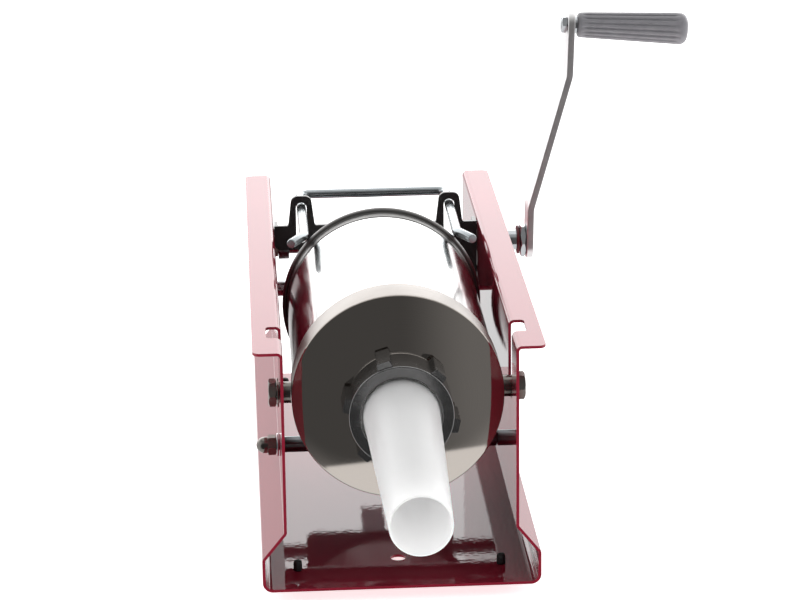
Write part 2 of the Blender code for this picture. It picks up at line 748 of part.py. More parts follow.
def ring_nut():
    """Cast ring nut: threaded skirt, front lip and gripping lugs."""
    inner = NECK_DIAMETER / 2 + GAP
    chamfer = NUT_LIP * NUT_CHAMFER_SHARE
    profile = [
        (nut_front(), NUT_OPENING / 2),
        (nut_front(), NUT_DIAMETER / 2 - chamfer),
        (nut_front() - chamfer, NUT_DIAMETER / 2),
        (nut_back() + NUT_BAND_LENGTH, NUT_DIAMETER / 2),
        (nut_back() + NUT_BAND_LENGTH, NUT_BAND_DIAMETER / 2),
        (nut_back(), NUT_BAND_DIAMETER / 2),
        (nut_back(), inner),
        (nut_front() - NUT_LIP, inner),
        (nut_front() - NUT_LIP, NUT_OPENING / 2),
    ]
    nut = turned("ring_nut", profile, CAST_METAL, along_axis(), NUT_STEPS, ring=True)
    lug_end = nut_back() + NUT_BAND_LENGTH * LUG_LENGTH_SHARE
    for index in range(LUG_COUNT):
        turn = math.tau * (index + LUG_PHASE) / LUG_COUNT
        low = (NUT_DIAMETER / 2 - NUT_WALL / 2, -LUG_WIDTH / 2, nut_back() + GAP)
        high = (NUT_BAND_DIAMETER / 2 + LUG_HEIGHT, LUG_WIDTH / 2, lug_end)
        lug = box(f"nut_lug_{index}", low, high)
        lug.matrix_world = along_axis() @ Matrix.Rotation(turn, 4, "Z")
        combine(nut, lug, "UNION")
    return nut


def nut_back():
    return collar_front() + SEAT_GAP


def nut_front():
    return nozzle_back() + NOZZLE_FLANGE + SEAT_GAP + NUT_LIP


def gasket_back():
    return neck_front() + GAP


def nozzle_back():
    return gasket_back() + GASKET_THICKNESS + GAP


def gasket_and_nozzle():
    top, bottom = gasket_back() + GASKET_THICKNESS, gasket_back()
    outer, inner = NECK_DIAMETER / 2 - GAP, NECK_BORE / 2 - GAP
    tube("nozzle_gasket", top, bottom, outer, inner, SILICONE, along_axis(), NUT_STEPS)
    back = nozzle_back()
    root = NOZZLE_ROOT_DIAMETER / 2
    tip = NOZZLE_TIP_DIAMETER / 2
    end = nut_front() + NOZZLE_REACH
    round_over = NOZZLE_WALL * TIP_ROUND_SHARE
    profile = [
        (end, tip - NOZZLE_WALL),
        (end, tip - round_over),
        (end - round_over, tip),
        (back + NOZZLE_FLANGE, root),
        (back + NOZZLE_FLANGE, NOZZLE_FLANGE_DIAMETER / 2),
        (back, NOZZLE_FLANGE_DIAMETER / 2),
        (back, root - NOZZLE_WALL),
    ]
    turned("nozzle", profile, WHITE_PLASTIC, along_axis(), NUT_STEPS, ring=True)


def cross_rod():
    """Spacer rod between the walls under the cylinder, with a cap nut on its left and a nut on its right."""
    y, z = along(ROD_FROM_FRONT), rod_z()
    shoulder = HALF_INNER - SEAT_GAP
    seat = HALF_OUTER + GAP
    nut_from = seat + ROD_WASHER + GAP
    left_end = nut_from + CAP_NUT_LENGTH * CAP_NUT_THREAD_SHARE
    right_end = nut_from + ROD_NUT_HEIGHT + THREAD_END
    thread, thick = ROD_THREAD_DIAMETER / 2, ROD_DIAMETER / 2
    pairs = [
        (right_end, thread),
        (shoulder, thread),
        (shoulder, thick),
        (-shoulder, thick),
        (-shoulder, thread),
        (-left_end, thread),
    ]
    solid_bar("cross_rod", pairs, ZINC, facing("X", (0, y, z)), SMALL_STEPS)
    bore = ROD_THREAD_DIAMETER + 2 * GAP
    for side, tag, direction in SIDES:
        spot = (side * seat, y, z)
        washer("rod_washer_" + tag, ROD_WASHER_DIAMETER, ROD_WASHER, bore, direction, spot)
    hex_nut("rod_nut", ROD_NUT_FLATS, ROD_NUT_HEIGHT, bore, "X", (nut_from, y, z))
    cap_nut(bore, (-nut_from, y, z))


def cap_nut(bore, origin):
    """Domed nut on the left end of the cross rod, its bore closed by the dome."""
    matrix = facing("-X", origin)
    half = ROD_NUT_HEIGHT / 2
    seat = matrix @ Matrix.Translation((0, 0, half))
    nut = flat("rod_cap_nut", [hexagon(ROD_NUT_FLATS)], ROD_NUT_HEIGHT, ZINC, seat)
    radius = CAP_NUT_DOME_DIAMETER / 2
    straight = CAP_NUT_LENGTH - radius
    turns = [math.radians(angle) for angle in range(0, 91, 15)]
    dome = [(straight + radius * math.cos(turn), radius * math.sin(turn)) for turn in turns]
    crown = turned("cap_nut_dome", [*dome, (half, radius), (half, 0)], None, matrix, SMALL_STEPS)
    combine(nut, crown, "UNION")
    pairs = [(CAP_NUT_LENGTH * CAP_NUT_BORE_SHARE, bore / 2), (-OVERCUT, bore / 2)]
    cut(nut, solid_bar("cap_nut_bore", pairs, None, matrix, SMALL_STEPS))


def rear_plate():
    """Upright plate behind the cylinder, with slotted ears and lugs turned back along the walls."""
    edge = HALF_INNER - GAP
    body = HALF_INNER - PLATE_BODY_INSET
    top = above(PLATE_TOP)
    outline = [
        (-body, top - PLATE_BODY_HEIGHT),
        (body, top - PLATE_BODY_HEIGHT),
        (body, top - RIGHT_TAB_HEIGHT),
        (edge, top - RIGHT_TAB_HEIGHT),
        (edge, top),
    ]
    radii = [PLATE_FILLET, PLATE_FILLET, PLATE_FILLET / 2, TAB_CORNER_RADIUS, 0]
    for side in (1, -1):
        ear, ear_radii = ear_outline(side)
        outline += ear
        radii += ear_radii
    outline += [(-edge, top), (-edge, top - LEFT_TAB_HEIGHT), (-body, top - LEFT_TAB_HEIGHT)]
    radii += [0, TAB_CORNER_RADIUS, PLATE_FILLET / 2]
    holes = [ear_slot(side) for side in (-1, 1)]
    wide, tall = RACK_WIDTH / 2 + GAP, RACK_HEIGHT / 2 + GAP
    low, high = AXIS_Z - tall, AXIS_Z + tall
    holes.append([(-wide, low), (wide, low), (wide, high), (-wide, high)])
    y = along(PLATE_FROM_FRONT) + PLATE_THICKNESS / 2
    upright = Matrix.Translation((0, y, 0)) @ Matrix.Rotation(math.pi / 2, 4, "X")
    outlines = [rounded(outline, radii, steps=BEND_STEPS + 2), *holes]
    plate = flat("rear_plate", outlines, PLATE_THICKNESS, BLACK_PAINT, upright)
    back = y + PLATE_THICKNESS / 2 + LUG_LENGTH
    for side, tag, _ in SIDES:
        low = top - (LEFT_TAB_HEIGHT if side < 0 else RIGHT_TAB_HEIGHT) + TAB_CORNER_RADIUS
        left, right = sorted((side * (edge - LUG_INSET), side * (edge - PLATE_THICKNESS)))
        combine(plate, box("plate_lug_" + tag, (left, y, low), (right, back, top - LUG_INSET)), "UNION")
        hole = PLATE_SCREW_DIAMETER / 2 + GAP
        for level, z in enumerate(screw_levels(side)):
            spot = ((left + right) / 2, screw_y(), z)
            drill(plate, f"lug_hole_{tag}_{level}", "X", spot, hole, OVERCUT * 2, SCREW_STEPS)
            plate_screw(side, tag, level, z)


def ear_centre():
    return EAR_CENTRE_SHARE * CYLINDER_DIAMETER / 2


def bail_z():
    """Height of the bail's legs, just clear of the cylinder's bead where they pass over it."""
    reach = CYLINDER_DIAMETER / 2 - CYLINDER_WALL / 2 + 2 * BEAD_RADIUS + BAIL_DIAMETER / 2 + BAIL_CLEARANCE
    return AXIS_Z + math.sqrt(reach**2 - ear_centre() ** 2)


def ear_slot_top():
    return bail_z() + EAR_SLOT_WIDTH / 2


def ear_outline(side):
    """Corners of one ear, listed from its +X side to its -X side, with their radii."""
    centre = side * ear_centre()
    base = EAR_BASE_WIDTH / 2
    waist = EAR_TOP_WIDTH / 2
    points = [
        (centre + base, above(PLATE_TOP)),
        (centre + waist, ear_slot_top() + EAR_ROOF),
        (centre - waist, ear_slot_top() + EAR_ROOF),
        (centre - base, above(PLATE_TOP)),
    ]
    crown = EAR_TOP_WIDTH * EAR_CROWN_SHARE
    return points, [PLATE_FILLET / 4, crown, crown, PLATE_FILLET / 4]


def ear_slot(side):
    """Long slot of one ear, rounded at both ends."""
    centre = side * ear_centre()
    half = EAR_SLOT_WIDTH / 2
    left, right = centre - half, centre + half
    top = ear_slot_top()
    bottom = top - EAR_SLOT_LENGTH
    corners = [(left, bottom), (right, bottom), (right, top), (left, top)]
    return rounded(corners, [half * FULL_ROUND_SHARE] * 4)


def plate_screw(side, tag, level, z):
    """A round-headed screw through the wall and the lug, with its nut inside."""
    direction = "X" if side > 0 else "-X"
    head_at = HALF_OUTER + GAP
    nut_at = HALF_INNER - GAP - PLATE_THICKNESS - GAP
    place = facing(direction, (side * head_at, screw_y(), z))
    head, shank = PLATE_SCREW_HEAD / 2, PLATE_SCREW_DIAMETER / 2
    reach = head_at - nut_at + PLATE_NUT_HEIGHT + GAP
    dome = [(PLATE_SCREW_HEAD_HEIGHT * tall, head * wide) for tall, wide in SCREW_DOME_SHARES]
    pairs = [*dome, (0, shank), (-reach, shank)]
    solid_bar(f"plate_screw_{tag}_{level}", pairs, ZINC, place, SCREW_STEPS)
    name = f"plate_nut_{tag}_{level}"
    inward = "-X" if side > 0 else "X"
    spot = (side * nut_at, screw_y(), z)
    hex_nut(name, PLATE_NUT_FLATS, PLATE_NUT_HEIGHT, 2 * (shank + GAP), inward, spot)


def rack_profile():
    """Side view of the toothed bar as (distance behind its front end, height over the axis)."""
    pitch = math.pi * MODULE
    tip = RACK_HEIGHT / 2
    pitch_line = tip - MODULE
    root = pitch_line - RACK_DEDENDUM * MODULE
    slope = math.tan(PRESSURE_ANGLE)
    half_tooth = pitch / 4 - TOOTH_CLEARANCE / 2
    root_half = half_tooth + (pitch_line - root) * slope
    tip_half = half_tooth - (tip - pitch_line) * slope
    first = rack_phase()
    teeth = []
    count = int((RACK_LENGTH - first - pitch) / pitch)
    for index in range(count):
        centre = first + pitch * index
        teeth += [(centre - root_half, root), (centre - tip_half, tip)]
        teeth += [(centre + tip_half, tip), (centre + root_half, root)]
    lead = first - pitch
    start = [(0, -tip), (RACK_LENGTH, -tip), (RACK_LENGTH, root)]
    return start + teeth[::-1] + [(lead, root), (lead, tip), (0, tip)]


def rack_phase():
    """Distance of the first tooth from the rack's front end that puts one tooth right under the pinion."""
    pitch = math.pi * MODULE
    under = along(SHAFT_FROM_FRONT) - rack_front_y()
    return under % pitch + 2 * pitch


def rack_front_y():
    return along(PISTON_FRONT + PISTON_THICKNESS) + GAP


def rack():
    """Toothed bar with the spigot that carries the piston."""
    start = (0, rack_front_y(), AXIS_Z)
    bar = flat("rack", [rack_profile()], RACK_WIDTH, DARK_STEEL, Matrix.Translation(start) @ SIDE_ON)
    reach = PISTON_THICKNESS + 2 * GAP + PISTON_WASHER + PISTON_NUT_HEIGHT + THREAD_END
    pairs = [(reach, SPIGOT_DIAMETER / 2), (-RACK_HEIGHT, SPIGOT_DIAMETER / 2)]
    combine(bar, solid_bar("rack_spigot", pairs, None, facing("-Y", start), SMALL_STEPS), "UNION")


def piston():
    """Piston disc with its seal, washer and nut on the rack's front end."""
    place = facing("-Y", (0, along(PISTON_FRONT), AXIS_Z))
    outer = CYLINDER_DIAMETER / 2 - CYLINDER_WALL - PISTON_CLEARANCE
    bore = SPIGOT_DIAMETER / 2 + GAP
    groove = outer - SEAL_DEPTH
    near = -PISTON_THICKNESS / 2 + SEAL_WIDTH / 2 + GAP
    far = -PISTON_THICKNESS / 2 - SEAL_WIDTH / 2 - GAP
    chamfer = SEAL_DEPTH / 4
    profile = [
        (0, bore),
        (0, outer - chamfer),
        (-chamfer, outer),
        (near, outer),
        (near, groove),
        (far, groove),
        (far, outer),
        (-PISTON_THICKNESS + chamfer, outer),
        (-PISTON_THICKNESS, outer - chamfer),
        (-PISTON_THICKNESS, bore),
    ]
    turned("piston_disc", profile, WHITE_PLASTIC, place, WIDE_STEPS, ring=True)
    rim, seat = outer + PISTON_CLEARANCE / 2, groove + GAP
    tube("piston_seal", near - GAP, far + GAP, rim, seat, SILICONE, place, WIDE_STEPS)
    washer_at = along(PISTON_FRONT) - GAP
    nut_at = washer_at - PISTON_WASHER - GAP
    washer("piston_washer", PISTON_WASHER_DIAMETER, PISTON_WASHER, 2 * bore, "-Y", (0, washer_at, AXIS_Z))
    hex_nut("piston_nut", PISTON_NUT_FLATS, PISTON_NUT_HEIGHT, 2 * bore, "-Y", (0, nut_at, AXIS_Z))


def pinion_outline():
    """Ten involute teeth, thinned by the clearance, with a tooth space pointing straight down."""
    pitch_radius = MODULE * PINION_TEETH / 2
    base_radius = pitch_radius * math.cos(PRESSURE_ANGLE)
    tip_radius = pitch_radius + MODULE
    root_radius = pitch_radius - PINION_DEDENDUM * MODULE
    half_at_pitch = math.pi / (2 * PINION_TEETH) - TOOTH_CLEARANCE / (2 * pitch_radius)

    def involute(radius):
        angle = math.acos(min(1, base_radius / radius))
        return math.tan(angle) - angle

    outline = []
    start = max(base_radius, root_radius)
    stations = [start + (tip_radius - start) * i / FLANK_STEPS for i in range(FLANK_STEPS + 1)]
    for tooth in range(PINION_TEETH):
        middle = math.tau * (tooth + 0.5) / PINION_TEETH - math.pi / 2
        flank = [(r, half_at_pitch + involute(pitch_radius) - involute(r)) for r in stations]
        rising = [(root_radius, flank[0][1] + ROOT_SPREAD)] + flank
        for radius, half in rising:
            outline.append((radius * math.cos(middle - half), radius * math.sin(middle - half)))
        for radius, half in reversed(rising):
            outline.append((radius * math.cos(middle + half), radius * math.sin(middle + half)))
    return outline


def pinion():
    """Pinion with its hub, cross-drilled for the pin that holds it on the shaft."""
    centre = (0, along(SHAFT_FROM_FRONT), shaft_z())
    half = PINION_WIDTH / 2
    hub_to = half + PINION_HUB_LENGTH
    hub = PINION_HUB_DIAMETER / 2
    gear = flat("pinion", [pinion_outline()], PINION_WIDTH, DARK_STEEL, Matrix.Translation(centre) @ SIDE_ON)
    pairs = [(hub_to, hub), (half - GAP, hub)]
    combine(gear, solid_bar("pinion_hub", pairs, None, facing("X", centre)), "UNION")
    drill(gear, "pinion_bore", "X", centre, SHAFT_DIAMETER / 2 + GAP, 2 * hub_to + OVERCUT)
    cross_drill(gear, "pin_hole_hub", PINION_HUB_DIAMETER)
    reach, radius = hub - GAP, PINION_PIN_DIAMETER / 2
    pairs = [(reach, radius), (-reach, radius)]
    solid_bar("pinion_pin", pairs, DARK_STEEL, facing("Z", pin_centre()), PIN_STEPS)


def pin_centre():
    x = PINION_WIDTH / 2 + PINION_HUB_LENGTH / 2
    return (x, along(SHAFT_FROM_FRONT), shaft_z())


def cross_drill(target, name, through):
    """The hole for the pinion's pin."""
    radius = PINION_PIN_DIAMETER / 2 + GAP
    drill(target, name, "Z", pin_centre(), radius, through + OVERCUT, SCREW_STEPS)


def crank_shaft():
    """Shaft with its boss for the arm, its bushes and collars, and the crank's washer and nut."""
    y, z = along(SHAFT_FROM_FRONT), shaft_z()
    bore = SHAFT_DIAMETER / 2 + GAP
    thin, thick = SHAFT_DIAMETER / 2, CRANK_BOSS_DIAMETER / 2
    shoulder = HALF_OUTER + BUSH_FLANGE + 2 * GAP
    right_end = ARM_REACH + ARM_THICKNESS / 2
    left_end = -HALF_OUTER - SHAFT_LEFT_END
    pairs = [(right_end, thick), (shoulder, thick), (shoulder, thin), (left_end, thin)]
    shaft = solid_bar("crank_shaft", pairs, ZINC, facing("X", (0, y, z)))
    cross_drill(shaft, "pin_hole_shaft", SHAFT_DIAMETER)
    ring_to = bush_end() - GAP
    ring_from = ring_to - COLLAR_RING_LENGTH
    ring = COLLAR_RING_DIAMETER / 2
    for _, tag, direction in SIDES:
        place = facing(direction, (0, y, z))
        shaft_bush(tag, place, bore)
        tube("shaft_collar_" + tag, ring_to, ring_from, ring, bore, DARK_STEEL, place, SMALL_STEPS)
    boss_bore = CRANK_BOSS_DIAMETER + 2 * GAP
    nut_at = ARM_REACH - ARM_THICKNESS / 2 - GAP - CRANK_NUT_HEIGHT
    washer_at = nut_at - CRANK_WASHER_SPACING - CRANK_WASHER
    spot = (washer_at, y, z)
    washer("crank_washer", CRANK_WASHER_DIAMETER, CRANK_WASHER, boss_bore, "X", spot, FIBRE)
    hex_nut("crank_nut", CRANK_NUT_FLATS, CRANK_NUT_HEIGHT, boss_bore, "X", (nut_at, y, z))


def bush_end():
    """Distance from the middle to a bush's inner end, level with the inside of the plate's lugs."""
    return HALF_INNER - GAP - PLATE_THICKNESS


def shaft_bush(tag, place, bore):
    """Bush through the wall with its flange outside."""
    flange_face = HALF_OUTER + GAP
    profile = [
        (flange_face + BUSH_FLANGE, bore),
        (flange_face + BUSH_FLANGE, BUSH_FLANGE_DIAMETER / 2),
        (flange_face, BUSH_FLANGE_DIAMETER / 2),
        (flange_face, BUSH_DIAMETER / 2),
        (bush_end(), BUSH_DIAMETER / 2),
        (bush_end(), bore),
    ]
    turned("shaft_bush_" + tag, profile, NYLON, place, ROUND_STEPS, ring=True)


def backup_roller():
    """Pin across the frame under the rack, with a roller, two spacers and nuts."""
    y, z = along(SHAFT_FROM_FRONT), roller_z()
    place = facing("X", (0, y, z))
    bore = PIN_DIAMETER / 2 + GAP
    nut_at = HALF_OUTER + GAP
    reach = nut_at + ROD_NUT_HEIGHT + THREAD_END
    pairs = [(reach, PIN_DIAMETER / 2), (-reach, PIN_DIAMETER / 2)]
    solid_bar("roller_pin", pairs, ZINC, place, SMALL_STEPS)
    half = ROLLER_LENGTH / 2
    tube("rack_roller", half, -half, ROLLER_DIAMETER / 2, bore, NYLON, place, ROUND_STEPS)
    top, bottom = HALF_INNER - GAP, half + GAP
    for side, tag, direction in SIDES:
        name = "roller_spacer_" + tag
        tube(name, top, bottom, SPACER_DIAMETER / 2, bore, ZINC, facing(direction, (0, y, z)), SMALL_STEPS)
        name = "roller_nut_" + tag
        hex_nut(name, ROD_NUT_FLATS, ROD_NUT_HEIGHT, 2 * bore, direction, (side * nut_at, y, z))


def arm_line():
    """Middle line of the crank arm as (distance over the shaft, X)."""
    return [
        (-ARM_END, ARM_REACH),
        (ARM_FIRST_BEND, ARM_REACH + ARM_LEAN / 2),
        (ARM_SECOND_BEND, ARM_REACH + ARM_OFFSET),
        (ARM_TOP, ARM_REACH + ARM_OFFSET + ARM_LEAN),
    ]


def crank_arm():
    """Flat bar bent twice, cut to a round-ended outline."""
    y, z = along(SHAFT_FROM_FRONT), shaft_z()
    line = [(x, height) for height, x in arm_line()]
    line = rounded(line, [0, ARM_BEND_RADIUS, ARM_BEND_RADIUS, 0], closed=False)
    sides = []
    for offset in (-ARM_THICKNESS / 2, ARM_THICKNESS / 2):
        edge = []
        for i, point in enumerate(line):
            before = Vector(line[max(i - 1, 0)])
            after = Vector(line[min(i + 1, len(line) - 1)])
            run = (after - before).normalized()
            edge.append((point[0] + run.y * offset, point[1] - run.x * offset))
        sides.append(edge)
    outline = sides[0] + sides[1][::-1]
    upright = Matrix.Translation((0, y, z)) @ Matrix.Rotation(math.pi / 2, 4, "X")
    arm = flat("crank_arm", [outline], ARM_WIDTH, ZINC, upright)
    half = ARM_WIDTH / 2
    corners = [(-half, -ARM_END), (half, -ARM_END), (half, ARM_TOP), (-half, ARM_TOP)]
    stadium = rounded(corners, [half * ARM_ROUND_SHARE] * 4, steps=2 * BEND_STEPS)
    centre = (ARM_REACH, y, z)
    place = Matrix.Translation(centre) @ SIDE_ON
    combine(arm, flat("arm_outline", [stadium], 4 * ARM_OFFSET, None, place), "INTERSECT")
    through = 4 * ARM_THICKNESS
    drill(arm, "arm_shaft_hole", "X", centre, CRANK_BOSS_DIAMETER / 2 + GAP, through)
    spindle_hole = SPINDLE_DIAMETER / 2 + GAP
    drill(arm, "arm_spindle_hole", grip_direction(), grip_origin(), spindle_hole, through, SMALL_STEPS)


def grip_direction():
    return Vector((math.cos(GRIP_TILT), 0, -math.sin(GRIP_TILT)))


def grip_origin():
    """Where the grip's axis meets the middle of the arm."""
    share = (GRIP_HEIGHT - ARM_SECOND_BEND) / (ARM_TOP - ARM_SECOND_BEND)
    x = ARM_REACH + ARM_OFFSET + ARM_LEAN * share
    return Vector((x, along(SHAFT_FROM_FRONT), shaft_z() + GRIP_HEIGHT))


def spindle_reach():
    """How far the spindle runs from the arm's middle into the grip."""
    return ARM_THICKNESS / 2 + SPINDLE_SHOULDER + SPINDLE_LENGTH_SHARE * GRIP_LENGTH


def grip_and_spindle():
    place = facing(grip_direction(), grip_origin())
    face = ARM_THICKNESS / 2 + GAP
    shoulder = face + SPINDLE_SHOULDER
    radius = SPINDLE_DIAMETER / 2
    collar = SPINDLE_SHOULDER_DIAMETER / 2
    pairs = [
        (spindle_reach(), radius),
        (shoulder, radius),
        (shoulder, collar),
        (face, collar),
        (face, radius),
        (-face - SPINDLE_NUT_HEIGHT - GAP, radius),
    ]
    solid_bar("grip_spindle", pairs, ZINC, place, SMALL_STEPS)
    bore = 2 * (radius + GAP)
    spot = place @ Vector((0, 0, -face))
    hex_nut("spindle_nut", SPINDLE_NUT_FLATS, SPINDLE_NUT_HEIGHT, bore, -grip_direction(), spot)
    fluted_grip(place, shoulder + GAP)


def fluted_grip(place, start):
    """Tapered grip with long flutes, hollow for the spindle and rounded at its outer end."""
    work = bmesh.new()
    around = GRIP_FLUTES * len(FLUTE_SHARES)
    taper = GRIP_OUTER_DIAMETER - GRIP_INNER_DIAMETER
    rings = []
    for share, fullness, flute in GRIP_STATIONS:
        full = (GRIP_INNER_DIAMETER + taper * share) / 2 * fullness
        height = start + GRIP_LENGTH * share
        ring = []
        for i in range(around):
            turn = math.tau * i / around
            radius = full - FLUTE_SHARES[i % len(FLUTE_SHARES)] * FLUTE_DEPTH * flute
            ring.append(work.verts.new((radius * math.cos(turn), radius * math.sin(turn), height)))
        rings.append(ring)
    for low, high in zip(rings, rings[1:]):
        for i in range(around):
            j = (i + 1) % around
            work.faces.new((low[i], low[j], high[j], high[i]))
    work.faces.new(rings[0][::-1])
    work.faces.new(rings[-1])
    mesh = bpy.data.meshes.new("grip")
    work.to_mesh(mesh)
    work.free()
    grip = placed("grip", mesh, GREY_PLASTIC, place)
    bore = SPINDLE_DIAMETER / 2 + GAP
    pairs = [(spindle_reach() + GAP, bore), (start - OVERCUT, bore)]
    cut(grip, solid_bar("grip_bore", pairs, None, place, SMALL_STEPS))


def latch_bail():
    """One bent rod: a cross bar behind the ears, two legs over the rim and tips bent outwards."""
    z = bail_z()
    leg = ear_centre()
    back = along(PLATE_FROM_FRONT + BAIL_BEHIND_PLATE)
    bend = along(CYLINDER_BACK)
    tip = (leg + BAIL_SPLAY, bend - BAIL_TIP_LENGTH)
    corners = [(-tip[0], tip[1]), (-leg, bend), (-leg, back), (leg, back), (leg, bend), tip]
    line = rounded(corners, [0] + [BAIL_BEND_RADIUS] * 4 + [0], closed=False, steps=BEND_STEPS + 2)
    pivot = Vector((0, back, z))
    points = [(x, y - pivot.y, 0) for x, y in line]
    rod = rod_path("latch_bail", points, BAIL_DIAMETER / 2)
    from_curve("latch_bail", rod, ZINC, Matrix.Translation(pivot))


frame_channel()
feet()
cylinder_tube()
front_cap()
trunnions()
ring_nut()
gasket_and_nozzle()
cross_rod()
rear_plate()
rack()
piston()
pinion()
crank_shaft()
backup_roller()
crank_arm()
grip_and_spindle()
latch_bail()
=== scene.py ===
"""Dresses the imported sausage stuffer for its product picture.

Metres, +Z up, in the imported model's own places: the nozzle points to -Y, the crank stands on +X.
"""

import json
import math

import bmesh
import bpy
from mathutils import Matrix, Vector

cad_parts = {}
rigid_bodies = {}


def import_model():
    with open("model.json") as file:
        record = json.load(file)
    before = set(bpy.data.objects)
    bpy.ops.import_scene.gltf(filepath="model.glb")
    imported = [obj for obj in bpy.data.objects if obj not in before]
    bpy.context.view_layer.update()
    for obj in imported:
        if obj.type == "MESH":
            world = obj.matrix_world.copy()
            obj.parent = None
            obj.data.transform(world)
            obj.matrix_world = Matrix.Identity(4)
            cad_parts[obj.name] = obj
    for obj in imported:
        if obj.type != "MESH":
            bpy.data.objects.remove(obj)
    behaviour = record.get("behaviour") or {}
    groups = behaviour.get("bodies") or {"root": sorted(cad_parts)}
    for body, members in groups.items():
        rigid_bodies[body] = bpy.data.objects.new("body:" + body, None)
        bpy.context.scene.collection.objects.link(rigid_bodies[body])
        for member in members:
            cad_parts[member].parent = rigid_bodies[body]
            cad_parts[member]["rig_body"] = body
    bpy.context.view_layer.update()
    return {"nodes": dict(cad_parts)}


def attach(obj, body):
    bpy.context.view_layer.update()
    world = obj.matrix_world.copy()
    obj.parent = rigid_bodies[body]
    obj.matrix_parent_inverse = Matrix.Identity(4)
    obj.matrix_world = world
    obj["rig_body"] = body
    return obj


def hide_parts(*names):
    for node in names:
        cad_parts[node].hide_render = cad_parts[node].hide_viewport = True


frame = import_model()
NODES = frame["nodes"]

# Fits
GAP = 0.0003
SEAT_GAP = 0.0004
OVERCUT = 0.004
EASE = 0.0003

# Cylinder, cap and neck
CYLINDER_DIAMETER = 0.141
CYLINDER_WALL = 0.0008
CYLINDER_FRONT = 0.026
CYLINDER_LENGTH = 0.2116
CYLINDER_BACK = CYLINDER_FRONT + CYLINDER_LENGTH
BEAD_RADIUS = 0.0019
BAND_WIDTH = 0.0145
BAND_RIB = 0.0005
CAP_WALL = 0.0018
CAP_DIAMETER = CYLINDER_DIAMETER + 2 * CAP_WALL
CAP_FRONT = 0.0215
CAP_DOME = 0.0025
CAP_SWELL = 0.0062
CAP_FACE_RADIUS = 0.24
DOME_STEPS = 24
CAP_EDGE_RADIUS = 0.0012
COLLAR_DIAMETER = 0.068
COLLAR_LENGTH = 0.009
NECK_DIAMETER = 0.062
NECK_BORE = 0.054
NECK_LENGTH = 0.0185
THREAD_PITCH = 0.003
THREAD_DEPTH = 0.0008

# Trunnions
TRUNNION_FROM_FRONT = 0.041
TRUNNION_DIAMETER = 0.0148
TRUNNION_BOLT_DIAMETER = 0.010
TRUNNION_HEAD_FLATS = 0.017
TRUNNION_HEAD_HEIGHT = 0.0055
TRUNNION_WASHER_DIAMETER = 0.020
TRUNNION_WASHER = 0.0013
CAP_SKIRT_BEHIND = 0.010
CAP_BACK = TRUNNION_FROM_FRONT + CAP_SKIRT_BEHIND
SLOT_AHEAD = 0.008
SLOT_BEHIND = 0.0165
SLOT_FRONT = TRUNNION_FROM_FRONT - SLOT_AHEAD
SLOT_BACK = TRUNNION_FROM_FRONT + SLOT_BEHIND
SLOT_BOTTOM_RADIUS = 0.0065
SLOT_SEAT_RADIUS = SLOT_BOTTOM_RADIUS / 3
NOTCH_DEPTH = 0.0085
NOTCH_CORNER_RADIUS = 0.003

# Folded sheet frame
SHEET = 0.002
SIDE_ROOM = 0.0057
SKIRT_REACH = 0.01725
FLANGE_REACH = 0.02025
CYLINDER_CLEARANCE = 0.0595
FLANGE_OVER_AXIS = 0.0417
INNER_WIDTH = CAP_DIAMETER + 2 * SIDE_ROOM
BASE_WIDTH = INNER_WIDTH + 2 * SKIRT_REACH
FLANGE_SPAN = INNER_WIDTH + 2 * FLANGE_REACH
AXIS_HEIGHT = CYLINDER_CLEARANCE + CYLINDER_DIAMETER / 2
FLANGE_HEIGHT = AXIS_HEIGHT + FLANGE_OVER_AXIS
SHOULDER_TOP = 0.0425
SHOULDER_FOOT = 0.0235
BEND_RADIUS = 0.003
BASE_BEND_RADIUS = 0.006
FLANGE_CORNER_RADIUS = 0.0055
FOOT_HEIGHT = 0.008
DRAIN_HOLE_DIAMETER = 0.0108
DRAIN_HOLE_FROM_FRONT = 0.0505

# Rubber feet
FOOT_DIAMETER = 0.018
FOOT_NIPPLE_DIAMETER = 0.006
FOOT_NIPPLE_HEIGHT = 0.0075
FOOT_NECK_DIAMETER = 0.005
FOOT_FROM_FRONT = 0.0335
FOOT_FROM_SIDE = 0.02465
FOOT_SPACING = BASE_WIDTH - 2 * FOOT_FROM_SIDE
FOOT_SHARES = ((0, 0.94), (0.25, 1), (0.9, 0.92), (1, 0.84))
NIPPLE_SHARES = ((0, 0.45), (0.2, 0.85), (0.7, 1))

# Ring nut and nozzle
NUT_DIAMETER = 0.0706
NUT_LIP = 0.0042
NUT_OPENING = 0.0548
NUT_EDGE = 0.0008
LUG_SPAN = 0.079
LUG_WIDTH = 0.011
LUG_TIP_SHARE = 0.86
LUG_COUNT = 6
LUG_INSET = 0.0015
LUG_PHASE = 0.79
GASKET_THICKNESS = 0.0018
NOZZLE_FLANGE = 0.003
NOZZLE_FLANGE_DIAMETER = 0.061
NOZZLE_ROOT_DIAMETER = 0.0515
NOZZLE_TIP_DIAMETER = 0.0395
NOZZLE_REACH = 0.195
NOZZLE_WALL = 0.0026
TIP_WALL = 0.0013

# Cross rod under the cylinder
ROD_FROM_FRONT = 0.146
ROD_DIAMETER = 0.0115
ROD_THREAD_DIAMETER = 0.008
ROD_NUT_FLATS = 0.013
ROD_NUT_HEIGHT = 0.0065
CAP_NUT_LENGTH = 0.0145
CAP_NUT_DOME_DIAMETER = 0.0118
CAP_NUT_BORE_SHARE = 0.76
CAP_NUT_THREAD_SHARE = 0.7
ROD_WASHER_DIAMETER = 0.0165
ROD_WASHER = 0.0014
THREAD_END = 0.002

# Nuts, bolts and threads
HEX_CIRCLE_SHARE = 0.96
HEX_CHAMFER = math.radians(30)
NUT_LEAD_SHARE = 0.08
PITCHES_PER_DIAMETER = 6.5
THREAD_DEPTH_SHARE = 0.3
SCREW_RECESS_SHARES = (0.45, 0.3)

